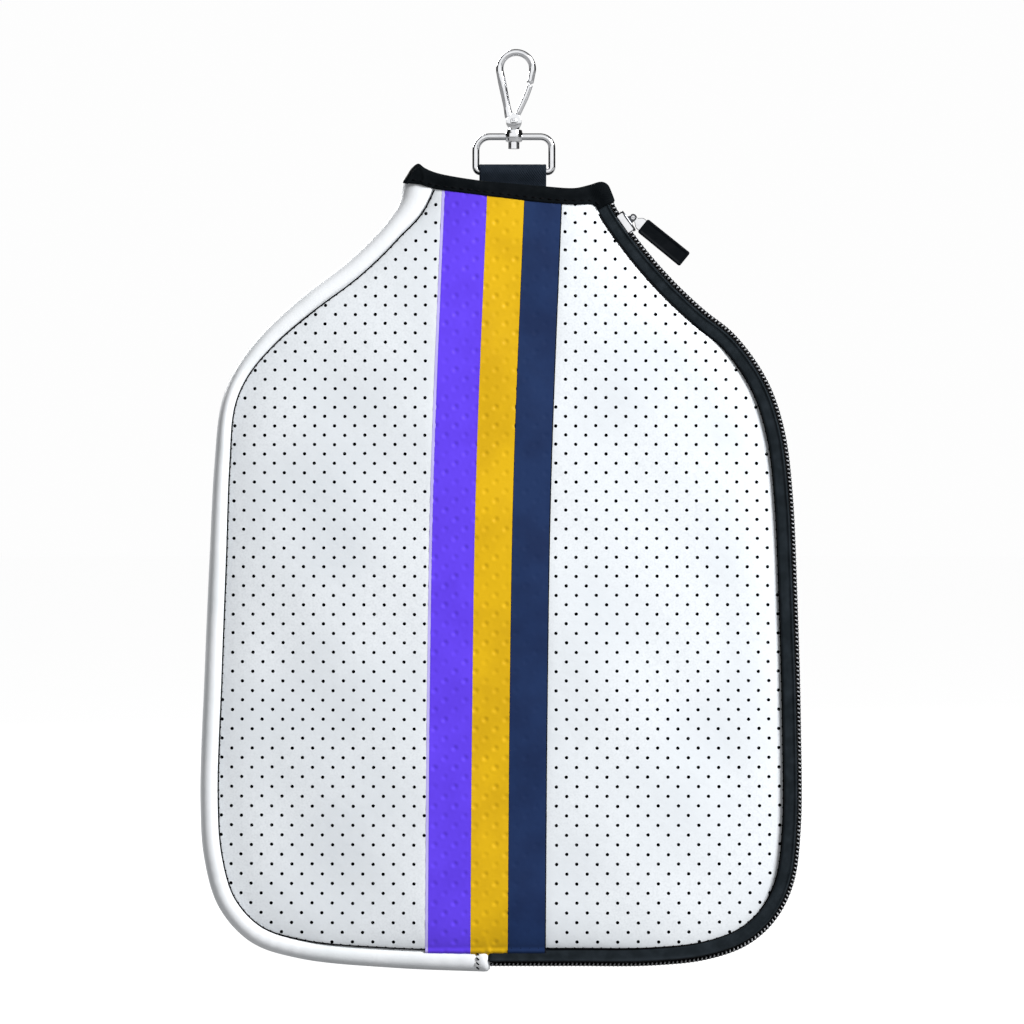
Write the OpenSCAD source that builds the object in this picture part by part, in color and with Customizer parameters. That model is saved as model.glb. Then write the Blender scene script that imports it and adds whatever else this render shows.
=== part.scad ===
// Padded paddle case with a side zip, hanging from a swivel snap hook.
// Millimetres. +Z is up, the striped front faces -Y, +X is the zip side.
// The origin is the hang point: the inside of the crown of the snap hook's bow.

/* [Case] */
// Thickness of the empty case at its fullest point
case_thick = 22; // [20:0.5:25]
// Distance of the case's middle plane in front of the hook's plane
mid_offset = 2.5; // [2.3:0.1:3]
// Radius of each panel's dome across the case
dome_across = 909; // [850:10:1200]
// Radius of each panel's dome from mouth to base
dome_along = 4150; // [3900:50:4600]
// Thickness of the perforated outer skin
skin_thick = 0.8; // [0.6:0.1:1]
// Thickness of the foam padding behind the skin
pad_thick = 2.6; // [2:0.1:2.8]
// Thickness of a heat-pressed stripe
stripe_thick = 0.25; // [0.2:0.05:0.4]

/* [Stripes] */
// Width of the purple stripe
purple_w = 15.7; // [12:0.1:16]
// Width of the gold stripe
gold_w = 14; // [12:0.1:16]
// Width of the navy stripe
navy_w = 13.9; // [12:0.1:16]

/* [Edges] */
// Half the thickness of the rim: the edge strip and the zip tapes
rim_half = 6; // [5.8:0.1:6.2]
// How far the mouth binding stands proud of the panels
binding_proud = 0.5; // [0.3:0.1:0.8]

/* [Zip] */
// Width from the zip's outer edge to the panel seam
zip_band = 6.5; // [6:0.1:7]
// Height of the coil above its tape
coil_high = 1.9; // [1.6:0.1:1.9]
// Half width of the closed coil
coil_half = 2.6; // [2.4:0.1:2.6]
// Thickness of the zip tape
tape_thick = 1.5; // [1.3:0.1:1.6]
// Radius of the curved run that the slider travels
run_radius = 172; // [172:1:173]
// Length of the slider
slider_l = 9; // [8:0.5:9.5]

/* [Hook and ring] */
// Radius of the ring's wire
ring_r = 1.3; // [1.2:0.05:1.35]
// Half width of the ring, measured to the wire's centre
ring_half = 14.2; // [14:0.1:16]
// Radius of the snap hook's wire
hook_r = 1.3; // [1.2:0.05:1.35]
// Width of the webbing tab
webbing_w = 25; // [23:0.5:26]
// Thickness of the webbing
webbing_thick = 1.5; // [1.2:0.1:1.5]

/* [Hidden] */

round_fn = 64;
fine_fn = 48;
dome_fn = 256;
joint_gap = 0.1;
far = 400;

half_thick = case_thick / 2;
mid_y = -mid_offset;
wall = skin_thick + pad_thick;
// Fullest point of both panels
dome_x = -5;
dome_z = -215;

// Outline of the case, from mouth to base, as smooth curves through a few points
left_points = [
    [-41, -46], [-42.5, -54], [-48.5, -63], [-62, -76.5], [-79.5, -90], [-94, -103.5],
    [-104, -117], [-109.2, -130], [-111.7, -152], [-113.6, -188], [-115.4, -230],
    [-117, -278], [-115.5, -300], [-110, -318], [-98, -331], [-80, -337],
    [-45, -340.5], [-8, -342]
];
// Width of the edge strip at each point of the left side
strip_widths = [12.5, 9.5, 7.4, 7.2, 7, 6.2, 5.2, 4.9, 5.4, 6, 6.2, 6.3, 6.4, 6.5, 6.7, 6.8, 7.2, 7.8];

// The slider's run is an arc, from run_start, heading down at run_angle below level
run_start = [38.6, -57.3];
run_angle = 57.3;
run_sweep = 21;
run_centre = run_start + run_radius * [sin(run_angle), cos(run_angle)];
function run_point(a) = run_centre - run_radius * [sin(run_angle - a), cos(run_angle - a)];

right_points = concat(
    [[34.5, -48], [36.6, -53]],
    [for (a = [0 : run_sweep / 5 : run_sweep]) run_point(a)],
    [[89.3, -112.3], [94.9, -121.5], [98.6, -130.5], [102, -144], [104.4, -166],
    [105.9, -200], [107.3, -250], [107.3, -288], [104.6, -309], [98, -322.5],
    [87.5, -332], [72.5, -337.5], [52, -339.8], [22, -340], [-8, -340]]
);

// Edges of the mouth binding
binding_top_points = [
    [-41, -47.6], [-39.6, -45], [-38.2, -42.8], [-35.6, -40.9], [-33, -42.6], [-28.5, -44.4],
    [-13.6, -47.1], [0, -48.4], [11.6, -49.4], [22.6, -50], [28, -48.8], [32.5, -47.6], [34.8, -48.6]
];
binding_low_points = [
    [-41.4, -47.7], [-35, -48.4], [-30.5, -49.9], [-21.6, -51.1], [-8, -53], [0.8, -54.1],
    [12, -55.3], [21, -56], [28, -55.8], [30.9, -57.2]
];
// Corner where the binding wraps over the top of the zip
binding_wrap = [37.3, -54.4];

// Left edge of the purple stripe, from mouth to base
stripe_left_points = [[-25.4, -44], [-29.8, -158], [-31.2, -240], [-32, -345]];

// The front corner folds forward along the line from fold_a to fold_b
fold_a = [-29, -44.1];
fold_b = [77.4, -99.9];
fold_gap = 0.6;
fold_dir = (fold_b - fold_a) / norm(fold_b - fold_a);
fold_up = [-fold_dir[1], fold_dir[0]];

// Where the slider stands when the zip is closed, as an angle along its run
slider_angle = 2;
slider_slope = run_angle - slider_angle;

// Ring: height of its upper and lower bars
ring_top_z = -30.2;
ring_low_z = -43.3;
ring_top_bend = 4.5;
ring_low_bend = 1.6;
barrel_r = 3.35;
barrel_top_z = -27.6;
barrel_low_z = -32.1;

// Hook: crown, rivet and post
crown_x = 0.85;
crown_r = 6.15;
crown_z = hook_r - crown_r;
// How far past a half turn the bow bends at each side before its arms run straight
crown_over = 11.4;
arm_l = 17.5;
// Bead where the bow's bend meets each straight arm
bead_r = 1.5;
nose_l = 4.3;
rivet_z = -24.6;
base_r = 2.75;
base_half = 2.3;
post_r = 1.4;
post_head_r = 2.05;
post_head_low_z = -34.7;
gate_tip = [6.05, -12];
gate_r = 1.15;
gate_eye_r = 1.7;
gate_eye_half = 0.8;
rivet_r = 0.7;

// Puller: pivot on the slider's bridge and its slope at rest
pull_slope = 39;
bridge_high = 3.1;
bridge_pin_r = 0.75;
tab_start = 4.6;
tab_l = 19.3;
tab_w = 6.4;
tab_thick = 2.6;
leaf_thick = 1.2;

// ---- Curves ----

function knot(a, b) = sqrt(norm(b - a));
function between(a, b, ta, tb, t) = (a * (tb - t) + b * (t - ta)) / (tb - ta);
// Point at share u of the way from p1 to p2 on a centripetal Catmull-Rom curve
function curve_point(p0, p1, p2, p3, u) = let (
    t1 = knot(p0, p1),
    t2 = t1 + knot(p1, p2),
    t3 = t2 + knot(p2, p3),
    t = t1 + (t2 - t1) * u,
    a1 = between(p0, p1, 0, t1, t),
    a2 = between(p1, p2, t1, t2, t),
    a3 = between(p2, p3, t2, t3, t),
    b1 = between(a1, a2, 0, t2, t),
    b2 = between(a2, a3, t1, t3, t)
) between(b1, b2, t1, t2, t);
function end_or(p, i) = i < 0 ? 2 * p[0] - p[1] : i >= len(p) ? 2 * p[len(p) - 1] - p[len(p) - 2] : p[i];
function smooth(p, n = 4) = concat(
    [for (i = [0 : len(p) - 2]) for (k = [0 : n - 1])
        curve_point(end_or(p, i - 1), p[i], p[i + 1], end_or(p, i + 2), k / n)],
    [p[len(p) - 1]]
);
function reversed(p) = [for (i = [len(p) - 1 : -1 : 0]) p[i]];
function heading(p, i) = let (d = p[min(i + 1, len(p) - 1)] - p[max(i - 1, 0)]) d / norm(d);
// Curve p moved sideways by d, to the left of its heading
function shifted(p, d) = [for (i = [0 : len(p) - 1])
    p[i] + (is_list(d) ? d[i] : d) * [-heading(p, i)[1], heading(p, i)[0]]];
function moved(p, by) = [for (q = p) q + by];

left_edge = smooth(left_points);
strip_width_steps = [for (w = smooth([for (i = [0 : len(strip_widths) - 1]) [i, strip_widths[i]]])) w[1]];
left_seam = shifted(left_edge, strip_width_steps);
right_edge = smooth(right_points);
right_seam = shifted(right_edge, -zip_band);
binding_top = smooth(binding_top_points, 3);
binding_low = smooth(binding_low_points, 3);
stripe_left = smooth(stripe_left_points, 4);

// ---- Flat outlines, drawn in x and z ----

module band_2d(a, b) polygon(concat(a, reversed(b)));
module zip_band_2d(from, to) band_2d(shifted(right_edge, -from), shifted(right_edge, -to));
module above_binding_2d() polygon(concat([[-far, far], [-far, binding_low_points[0][1]]], binding_low,
    [binding_wrap, [far, binding_wrap[1]], [far, far]]));
module panel_2d() {
    difference() {
        polygon(concat(left_seam, reversed(right_seam)));
        above_binding_2d();
    }
}
module binding_2d() polygon(concat(binding_top, [binding_wrap], reversed(binding_low)));
module corner_side_2d(gap = fold_gap) polygon([
    fold_a - far * fold_dir + gap * fold_up,
    fold_b + far * fold_dir + gap * fold_up,
    fold_b + far * fold_dir + far * fold_up,
    fold_a - far * fold_dir + far * fold_up
]);
// Keeps the part of a front outline on the folding corner, or the part below the fold
module on_corner_2d() intersection() {
    children();
    corner_side_2d();
}
module below_fold_2d() difference() {
    children();
    corner_side_2d(-fold_gap);
}
module stripe_2d(from, to) intersection() {
    panel_2d();
    band_2d(moved(stripe_left, [from, 0]), moved(stripe_left, [to, 0]));
}

// ---- Solids between flat outlines and domes ----

// Raises a flat outline between two depths along Y
module plate(y0, y1) translate([0, y1, 0]) rotate([90, 0, 0]) linear_extrude(y1 - y0) children();
// Everything within inset of the domed outer face; side is -1 for the front, 1 for the back
module dome(side, inset) {
    centre_y = mid_y + side * (half_thick - dome_along);
    translate([dome_x, centre_y, dome_z])
        rotate([0, 90, 0])
            rotate_extrude($fn = dome_fn)
                translate([dome_along - dome_across, 0])
                    circle(r = dome_across - inset, $fn = dome_fn);
}
// A layer that follows the domed face, between two depths below it
module layer(side, from, to) intersection() {
    plate(side < 0 ? mid_y - 2 * half_thick : mid_y, side < 0 ? mid_y : mid_y + 2 * half_thick) children();
    difference() {
        dome(side, from);
        dome(side, to);
    }
}
// A round bar between two points in the hook's plane
module bar(p, q, r) {
    d = q - p;
    translate([p[0], 0, p[1]])
        rotate([0, atan2(d[0], d[1]), 0])
            cylinder(h = norm(d), r = r, $fn = fine_fn);
}
module across(x, z, y0, y1, r, fn = fine_fn) translate([x, y1, z]) rotate([90, 0, 0]) cylinder(h = y1 - y0, r = r, $fn = fn);

// ---- Padded shell ----

module front_skin() color("whitesmoke") layer(-1, 0, skin_thick) below_fold_2d() panel_2d();
module front_skin_corner() color("whitesmoke") layer(-1, 0, skin_thick) on_corner_2d() panel_2d();
module front_padding() color("dimgray") layer(-1, skin_thick, wall) below_fold_2d() panel_2d();
module front_padding_corner() color("dimgray") layer(-1, skin_thick, wall) on_corner_2d() panel_2d();
module back_skin() color("whitesmoke") layer(1, 0, skin_thick) panel_2d();
module back_padding() color("dimgray") layer(1, skin_thick, wall) panel_2d();

// ---- Stripes ----

gold_from = purple_w;
navy_from = purple_w + gold_w;
navy_to = purple_w + gold_w + navy_w;
module stripe(from, to) layer(-1, -stripe_thick, 0) below_fold_2d() stripe_2d(from, to);
module stripe_corner(from, to) layer(-1, -stripe_thick, 0) on_corner_2d() stripe_2d(from, to);
module stripe_purple() color("mediumslateblue") stripe(0, purple_w);
module stripe_gold() color("goldenrod") stripe(gold_from, navy_from);
module stripe_gold_corner() color("goldenrod") stripe_corner(gold_from, navy_from);
module stripe_navy() color("midnightblue") stripe(navy_from, navy_to);
module stripe_navy_corner() color("midnightblue") stripe_corner(navy_from, navy_to);

// ---- Edge strip and mouth binding ----

module edge_strip() color("gainsboro") plate(mid_y - rim_half, mid_y + rim_half) difference() {
    band_2d(left_edge, left_seam);
    above_binding_2d();
}
// Thread that holds the strip's end over the end of the zip
bartack_x = -14.4;
bartack_z = [-335, -336.8, -338.6, -340.3];
module strip_bartack() color("black")
    for (z = bartack_z)
        translate([bartack_x, mid_y - rim_half - 0.3, z])
            rotate([0, 90, 0])
                cylinder(h = 1.6, r = 0.3, $fn = 24);

binding_end = smooth([for (i = [0 : 3]) binding_top_points[i]], 3);
module binding_layer(side) layer(side, -binding_proud, wall) children();
// Where the binding turns from the front to the back, over the strip's end
module binding_end_2d() band_2d(shifted(binding_end, -1.5), binding_end);
module mouth_binding() color("#20242a") union() {
    binding_layer(1) binding_2d();
    binding_layer(-1) below_fold_2d() binding_2d();
    plate(mid_y - rim_half, mid_y + rim_half) intersection() {
        binding_end_2d();
        above_binding_2d();
    }
}
module mouth_binding_corner() color("#20242a") binding_layer(-1) on_corner_2d() binding_2d();

// ---- Zip ----

coil_gap = 0.5;
module tape_2d() difference() {
    zip_band_2d(coil_high + joint_gap, zip_band);
    above_binding_2d();
}
module tape_wall_2d() difference() {
    zip_band_2d(coil_high + joint_gap, coil_high + joint_gap + tape_thick);
    above_binding_2d();
}
module coil_2d() difference() {
    zip_band_2d(0, coil_high);
    above_binding_2d();
}
// A flat outline raised between two distances from the middle plane, on one side of it
module from_mid(side, near, out) plate(side < 0 ? mid_y - out : mid_y + near, side < 0 ? mid_y - near : mid_y + out)
    children();
module zip_tape_back() color("#1b1f24") union() {
    from_mid(1, rim_half - tape_thick, rim_half) tape_2d();
    from_mid(1, coil_gap, rim_half) tape_wall_2d();
}
module zip_tape_front() color("#1b1f24") union() {
    from_mid(-1, rim_half - tape_thick, rim_half) below_fold_2d() tape_2d();
    from_mid(-1, coil_gap, rim_half) below_fold_2d() tape_wall_2d();
}
module zip_tape_corner() color("#1b1f24") union() {
    from_mid(-1, rim_half - tape_thick, rim_half) on_corner_2d() tape_2d();
    from_mid(-1, coil_gap, rim_half) on_corner_2d() tape_wall_2d();
}
module zip_coil_back() color("#2b2e33") from_mid(1, coil_gap, coil_half) coil_2d();
module zip_coil_front() color("#2b2e33") from_mid(-1, coil_gap, coil_half) below_fold_2d() coil_2d();
module zip_coil_corner() color("#2b2e33") from_mid(-1, coil_gap, coil_half) on_corner_2d() coil_2d();

// ---- Slider and puller ----

plate_half = 3.6;
lip_thick = 0.6;
slider_clear = 0.35;
plate_thick = 1;
inner_top = -(coil_high + joint_gap + tape_thick + slider_clear);
lip_low = -(coil_high - 0.2);
ear_gap = 0.9;
ear_thick = 0.7;
ear_r = 1.3;
leaf_eye_r = 1.4;
leaf_end_r = 2.4;
module at_slider() translate([run_point(slider_angle)[0], mid_y, run_point(slider_angle)[1]])
    rotate([0, slider_slope, 0])
        children();
module slider_block(x0, x1, y0, y1, z0, z1) translate([x0, y0, z0]) cube([x1 - x0, y1 - y0, z1 - z0]);
module slider_body() color("silver") at_slider() difference() {
    union() {
        slider_block(-slider_l / 2, slider_l / 2, -plate_half, plate_half, slider_clear, slider_clear + plate_thick);
        slider_block(-slider_l / 2, slider_l / 2, -plate_half, plate_half, inner_top - plate_thick, inner_top);
        for (s = [-1, 1])
            translate([0, s * (plate_half - lip_thick / 2), 0])
                slider_block(-slider_l / 2, slider_l / 2, -lip_thick / 2, lip_thick / 2, lip_low, slider_clear + 0.2);
        slider_block(-slider_l / 2, -slider_l / 2 + 2, -0.2, 0.2, inner_top - 0.2, slider_clear + 0.2);
        for (s = [-1, 1])
            translate([0, s * (ear_gap + ear_thick / 2), 0]) {
                slider_block(-ear_r, ear_r, -ear_thick / 2, ear_thick / 2, slider_clear + 0.5, bridge_high);
                across(0, bridge_high, -ear_thick / 2, ear_thick / 2, ear_r);
            }
    }
    across(0, bridge_high, -3, 3, bridge_pin_r);
}
module slider_bridge_pin() color("silver") at_slider()
    across(0, bridge_high, -ear_gap - ear_thick, ear_gap + ear_thick, bridge_pin_r);
// Puller parts are drawn along +X from the pivot
module at_pull() at_slider() translate([0, 0, bridge_high]) rotate([0, pull_slope - slider_slope, 0]) children();
module pull_leaf() color("silver") at_pull() difference() {
    union() {
        across(0, 0, -leaf_thick / 2, leaf_thick / 2, leaf_eye_r);
        translate([0, -leaf_thick / 2, -1.2])
            cube([3.4, leaf_thick, 2.4]);
        across(tab_start - 1.4, 0, -leaf_thick / 2, leaf_thick / 2, leaf_end_r);
        translate([tab_start - 1.4, -leaf_thick / 2, -2])
            cube([tab_l - 2, leaf_thick, 4]);
    }
    across(0, 0, -2, 2, bridge_pin_r + 0.07);
}
module pull_tab() color("#15171a") at_pull() difference() {
    rotate([90, 0, 0])
        translate([0, 0, -tab_thick / 2])
            linear_extrude(tab_thick)
                polygon([[tab_start, -tab_w / 2 + 0.2], [tab_start + tab_l, -tab_w / 2],
                    [tab_start + tab_l, tab_w / 2], [tab_start, tab_w / 2 - 0.2]]);
    translate([tab_start - 1.4, -leaf_thick / 2, -2])
        cube([tab_l - 2, leaf_thick, 4]);
    across(tab_start - 1.4, 0, -leaf_thick / 2, leaf_thick / 2, leaf_end_r);
}

// ---- Webbing tab ----

webbing_x = -12.9;
webbing_low_z = -68;
webbing_join_z = -46.8;
loop_in = ring_r + joint_gap;
loop_out = loop_in + webbing_thick;
// Half the distance over both legs, just below the ring's bar
leg_top = loop_out - 0.15;
// Depth of the line where the two legs meet, at the join and at the lower end
join_y = -0.3;
low_y = 0.3;
module webbing_legs(outline) rotate([90, 0, 90]) linear_extrude(webbing_w) polygon(outline);
module webbing_turn(r) translate([0, 0, ring_low_z]) rotate([0, 90, 0]) cylinder(h = webbing_w, r = r, $fn = round_fn);
module webbing_loop() color("#23282f") translate([webbing_x, 0, 0]) difference() {
    union() {
        webbing_turn(loop_out);
        webbing_legs([
            [-leg_top, ring_low_z - 0.6], [leg_top, ring_low_z - 0.6],
            [join_y + webbing_thick, webbing_join_z], [low_y + webbing_thick, webbing_low_z],
            [low_y - webbing_thick, webbing_low_z], [join_y - webbing_thick, webbing_join_z]
        ]);
    }
    webbing_turn(loop_in);
    webbing_legs([[-loop_in + 0.1, ring_low_z], [loop_in - 0.1, ring_low_z], [join_y, webbing_join_z]]);
}
// Two rows of thread that hold the tab to the back panel's lining
thread_z = [-58, -65];
function leg_face_y(z) = join_y - webbing_thick
    + (low_y - join_y) * (webbing_join_z - z) / (webbing_join_z - webbing_low_z);
module webbing_thread() color("black")
    for (z = thread_z)
        translate([webbing_x + 2, leg_face_y(z) - 0.36, z])
            rotate([0, 90, 0])
                cylinder(h = webbing_w - 4, r = 0.3, $fn = 24);

// ---- Ring ----

module ring_bend(x, z, bend, from) translate([x, 0, z]) rotate([90, 0, 0])
    rotate([0, 0, from])
        rotate_extrude(angle = 90, $fn = round_fn)
            translate([bend, 0])
                circle(r = ring_r, $fn = fine_fn);
module ring() color("silver") difference() {
    union() {
        for (s = [-1, 1]) {
            translate([s * ring_half, 0, ring_low_z + ring_low_bend])
                cylinder(h = ring_top_z - ring_top_bend - ring_low_z - ring_low_bend, r = ring_r, $fn = fine_fn);
            ring_bend(s * (ring_half - ring_top_bend), ring_top_z - ring_top_bend, ring_top_bend, s > 0 ? 0 : 90);
            ring_bend(s * (ring_half - ring_low_bend), ring_low_z + ring_low_bend, ring_low_bend, s > 0 ? 270 : 180);
        }
        translate([-ring_half + ring_top_bend, 0, ring_top_z])
            rotate([0, 90, 0])
                cylinder(h = 2 * (ring_half - ring_top_bend), r = ring_r, $fn = fine_fn);
        translate([-ring_half + ring_low_bend, 0, ring_low_z])
            rotate([0, 90, 0])
                cylinder(h = 2 * (ring_half - ring_low_bend), r = ring_r, $fn = round_fn);
        translate([0, 0, barrel_low_z])
            cylinder(h = barrel_top_z - barrel_low_z, r = barrel_r, $fn = round_fn);
    }
    translate([0, 0, barrel_low_z - 1])
        cylinder(h = barrel_top_z - barrel_low_z + 2, r = post_r + 0.08, $fn = round_fn);
}

// ---- Snap hook ----

fork_half = gate_eye_half + 0.15;
fork_r = gate_eye_r + 0.15;
function crown_end(s) = [crown_x + s * crown_r * cos(crown_over), crown_z - crown_r * sin(crown_over)];
function down_from(s, l) = crown_end(s) + l * [-s * sin(crown_over), -cos(crown_over)];
module hook_body() color("silver") difference() {
    union() {
        translate([crown_x, 0, crown_z])
            rotate([90, 0, 0])
                rotate([0, 0, -crown_over])
                    rotate_extrude(angle = 180 + 2 * crown_over, $fn = round_fn)
                        translate([crown_r, 0])
                            circle(r = hook_r, $fn = fine_fn);
        for (s = [-1, 1]) {
            translate([crown_end(s)[0], 0, crown_end(s)[1]])
                sphere(r = bead_r, $fn = fine_fn);
            bar(down_from(s, 0.3), down_from(s, s < 0 ? arm_l : nose_l), hook_r);
        }
        across(0, rivet_z, -base_half, base_half, base_r, round_fn);
        translate([0, 0, barrel_top_z + 0.2])
            cylinder(h = 1.6, r = post_head_r, $fn = round_fn);
    }
    // Fork for the gate's eye, open towards the gate
    across(0, rivet_z, -fork_half, fork_half, fork_r);
    translate([-1.1, -fork_half, rivet_z])
        cube([4.4, 2 * fork_half, 4]);
    across(0, rivet_z, -4, 4, rivet_r);
}
module swivel_post() color("silver") union() {
    translate([0, 0, post_head_low_z])
        cylinder(h = barrel_top_z + 0.2 - post_head_low_z, r = post_r, $fn = round_fn);
    translate([0, 0, post_head_low_z])
        cylinder(h = barrel_low_z - 0.2 - post_head_low_z, r = post_head_r, $fn = round_fn);
}
gate_root = [2.05, -20.1];
module gate() color("silver") difference() {
    union() {
        across(0, rivet_z, -gate_eye_half, gate_eye_half - 0.6, gate_eye_r);
        rotate([90, 0, 0])
            translate([0, 0, -gate_eye_half + 0.6])
                linear_extrude(2 * gate_eye_half - 0.6)
                    polygon([[-0.3, rivet_z + 1.2], [1, gate_root[1]], [2.9, gate_root[1]], [1.6, rivet_z + 0.2]]);
        bar(gate_root, gate_tip, gate_r);
        translate([gate_tip[0], 0, gate_tip[1]])
            sphere(r = gate_r, $fn = fine_fn);
    }
    across(0, rivet_z, -2, 2, rivet_r + 0.06);
}
module gate_rivet() color("silver") union() {
    across(0, rivet_z, -base_half, base_half, rivet_r);
    for (s = [-1, 1])
        translate([0, s * (base_half + 0.2), 0])
            across(0, rivet_z, -0.2, 0.2, 2 * rivet_r);
}
// Small coil that shuts the gate, wound round the rivet beside the gate's eye
module gate_spring() color("dimgray")
    translate([0, gate_eye_half - 0.26, rivet_z])
        rotate([90, 0, 0])
            rotate_extrude($fn = round_fn)
                translate([1.05, 0])
                    circle(r = 0.22, $fn = 24);

front_skin();
front_skin_corner();
front_padding();
front_padding_corner();
back_skin();
back_padding();
stripe_purple();
stripe_gold();
stripe_gold_corner();
stripe_navy();
stripe_navy_corner();
edge_strip();
strip_bartack();
mouth_binding();
mouth_binding_corner();
zip_tape_back();
zip_tape_front();
zip_tape_corner();
zip_coil_back();
zip_coil_front();
zip_coil_corner();
slider_body();
slider_bridge_pin();
pull_leaf();
pull_tab();
webbing_loop();
webbing_thread();
ring();
hook_body();
swivel_post();
gate();
gate_rivet();
gate_spring();
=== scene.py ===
import math

import bmesh
import bpy
import numpy as np
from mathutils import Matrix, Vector
from mathutils.geometry import delaunay_2d_cdt


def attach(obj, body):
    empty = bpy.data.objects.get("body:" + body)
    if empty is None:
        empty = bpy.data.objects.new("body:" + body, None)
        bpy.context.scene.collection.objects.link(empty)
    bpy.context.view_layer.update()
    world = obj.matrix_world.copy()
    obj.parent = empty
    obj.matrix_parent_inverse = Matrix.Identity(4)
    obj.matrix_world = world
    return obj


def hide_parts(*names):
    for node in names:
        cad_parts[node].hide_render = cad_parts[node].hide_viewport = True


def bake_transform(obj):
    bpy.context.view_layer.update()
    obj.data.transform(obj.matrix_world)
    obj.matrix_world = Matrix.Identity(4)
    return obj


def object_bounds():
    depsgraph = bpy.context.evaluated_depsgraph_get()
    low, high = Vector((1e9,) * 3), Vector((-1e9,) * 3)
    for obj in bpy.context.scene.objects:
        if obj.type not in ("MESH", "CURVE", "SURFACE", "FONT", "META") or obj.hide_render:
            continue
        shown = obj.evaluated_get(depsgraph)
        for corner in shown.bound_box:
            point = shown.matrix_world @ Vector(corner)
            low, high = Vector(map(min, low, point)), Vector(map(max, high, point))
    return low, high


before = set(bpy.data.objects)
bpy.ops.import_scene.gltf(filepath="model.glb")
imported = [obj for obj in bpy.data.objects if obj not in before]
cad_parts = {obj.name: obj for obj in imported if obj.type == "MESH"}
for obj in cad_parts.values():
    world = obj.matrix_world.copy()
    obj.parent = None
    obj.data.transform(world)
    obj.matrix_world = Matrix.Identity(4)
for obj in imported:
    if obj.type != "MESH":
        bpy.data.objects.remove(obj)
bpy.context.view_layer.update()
RNG = np.random.default_rng(7)
MM = 0.001
MID_Y = -2.5
PI = math.pi

# ---- curves, in mm


def smooth(points, n):
    """Centripetal Catmull-Rom curve through the points, n steps for each span."""
    p = [np.array(q, float) for q in points]
    p = [2 * p[0] - p[1]] + p + [2 * p[-1] - p[-2]]
    out = []
    for i in range(1, len(p) - 2):
        p0, p1, p2, p3 = p[i - 1 : i + 3]
        t1 = math.sqrt(np.linalg.norm(p1 - p0))
        t2 = t1 + math.sqrt(np.linalg.norm(p2 - p1))
        t3 = t2 + math.sqrt(np.linalg.norm(p3 - p2))
        for k in range(n):
            t = t1 + (t2 - t1) * k / n
            a1 = (p0 * (t1 - t) + p1 * t) / t1
            a2 = (p1 * (t2 - t) + p2 * (t - t1)) / (t2 - t1)
            a3 = (p2 * (t3 - t) + p3 * (t - t2)) / (t3 - t2)
            b1 = (a1 * (t2 - t) + a2 * t) / t2
            b2 = (a2 * (t3 - t) + a3 * (t - t1)) / (t3 - t1)
            out.append((b1 * (t2 - t) + b2 * (t - t1)) / (t2 - t1))
    return np.array(out + [p[-2]])


def lengths(c):
    return np.concatenate([[0], np.cumsum(np.linalg.norm(np.diff(c, axis=0), axis=1))])


def sample(c, s, t):
    """The points at the lengths t of a curve c, whose own points lie at the lengths s."""
    return np.stack([np.interp(t, s, c[:, k]) for k in range(c.shape[1])], 1)


def resample(c, step):
    s = lengths(c)
    return sample(c, s, np.linspace(0, s[-1], max(2, int(round(s[-1] / step)) + 1)))


def left_of(c):
    """Unit vectors to the left of a curve, seen along it."""
    d = np.gradient(c, axis=0)
    d = d / np.linalg.norm(d, axis=1)[:, None]
    return np.stack([-d[:, 1], d[:, 0]], 1)


def upright(c, y=0.0):
    """A curve in x and z, set up at the depth y."""
    return np.stack([c[:, 0], np.full(len(c), y), c[:, 1]], 1)


def round_angles(n):
    return np.linspace(0, 2 * PI, n, endpoint=False)


def ease(t):
    t = np.clip(t, 0, 1)
    return t * t * (3 - 2 * t)


# ---- outlines, x and z in mm

LEFT = [
    (-41, -46), (-42.5, -54), (-48.5, -63), (-62, -76.5), (-79.5, -90), (-94, -103.5),
    (-104, -117), (-109.2, -130), (-111.7, -152), (-113.6, -188), (-115.4, -230),
    (-117, -278), (-115.5, -300), (-110, -318), (-98, -331), (-80, -337),
    (-45, -340.5), (-8, -342),
]
STRIP_W = [12.5, 9.5, 7.4, 7.2, 7, 6.2, 5.2, 4.9, 5.4, 6, 6.2, 6.3, 6.4, 6.5, 6.7, 6.8, 7.2, 7.8]
RUN_ANGLE = math.radians(57.3)
RUN_CENTRE = np.array([38.6 + 172 * math.sin(RUN_ANGLE), -57.3 + 172 * math.cos(RUN_ANGLE)])


def run_point(degrees):
    a = RUN_ANGLE - math.radians(degrees)
    return RUN_CENTRE - 172 * np.array([math.sin(a), math.cos(a)])


RIGHT = [(34.5, -48), (36.6, -53)] + [tuple(run_point(4.2 * k)) for k in range(6)] + [
    (89.3, -112.3), (94.9, -121.5), (98.6, -130.5), (102, -144), (104.4, -166),
    (105.9, -200), (107.3, -250), (107.3, -288), (104.6, -309), (98, -322.5),
    (87.5, -332), (72.5, -337.5), (52, -339.8), (22, -340), (-8, -340),
]
ZIP_BAND = 6.5
left_raw = smooth(LEFT, 10)
strip_w_raw = smooth([(k, w) for k, w in enumerate(STRIP_W)], 10)[:, 1]
left_edge = resample(left_raw, 1.5)
strip_w = np.interp(lengths(left_edge), lengths(left_raw), strip_w_raw)
left_seam = left_edge + left_of(left_edge) * strip_w[:, None]
right_edge = resample(smooth(RIGHT, 10), 1.5)
right_in = -left_of(right_edge)
right_seam = right_edge + right_in * ZIP_BAND

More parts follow.
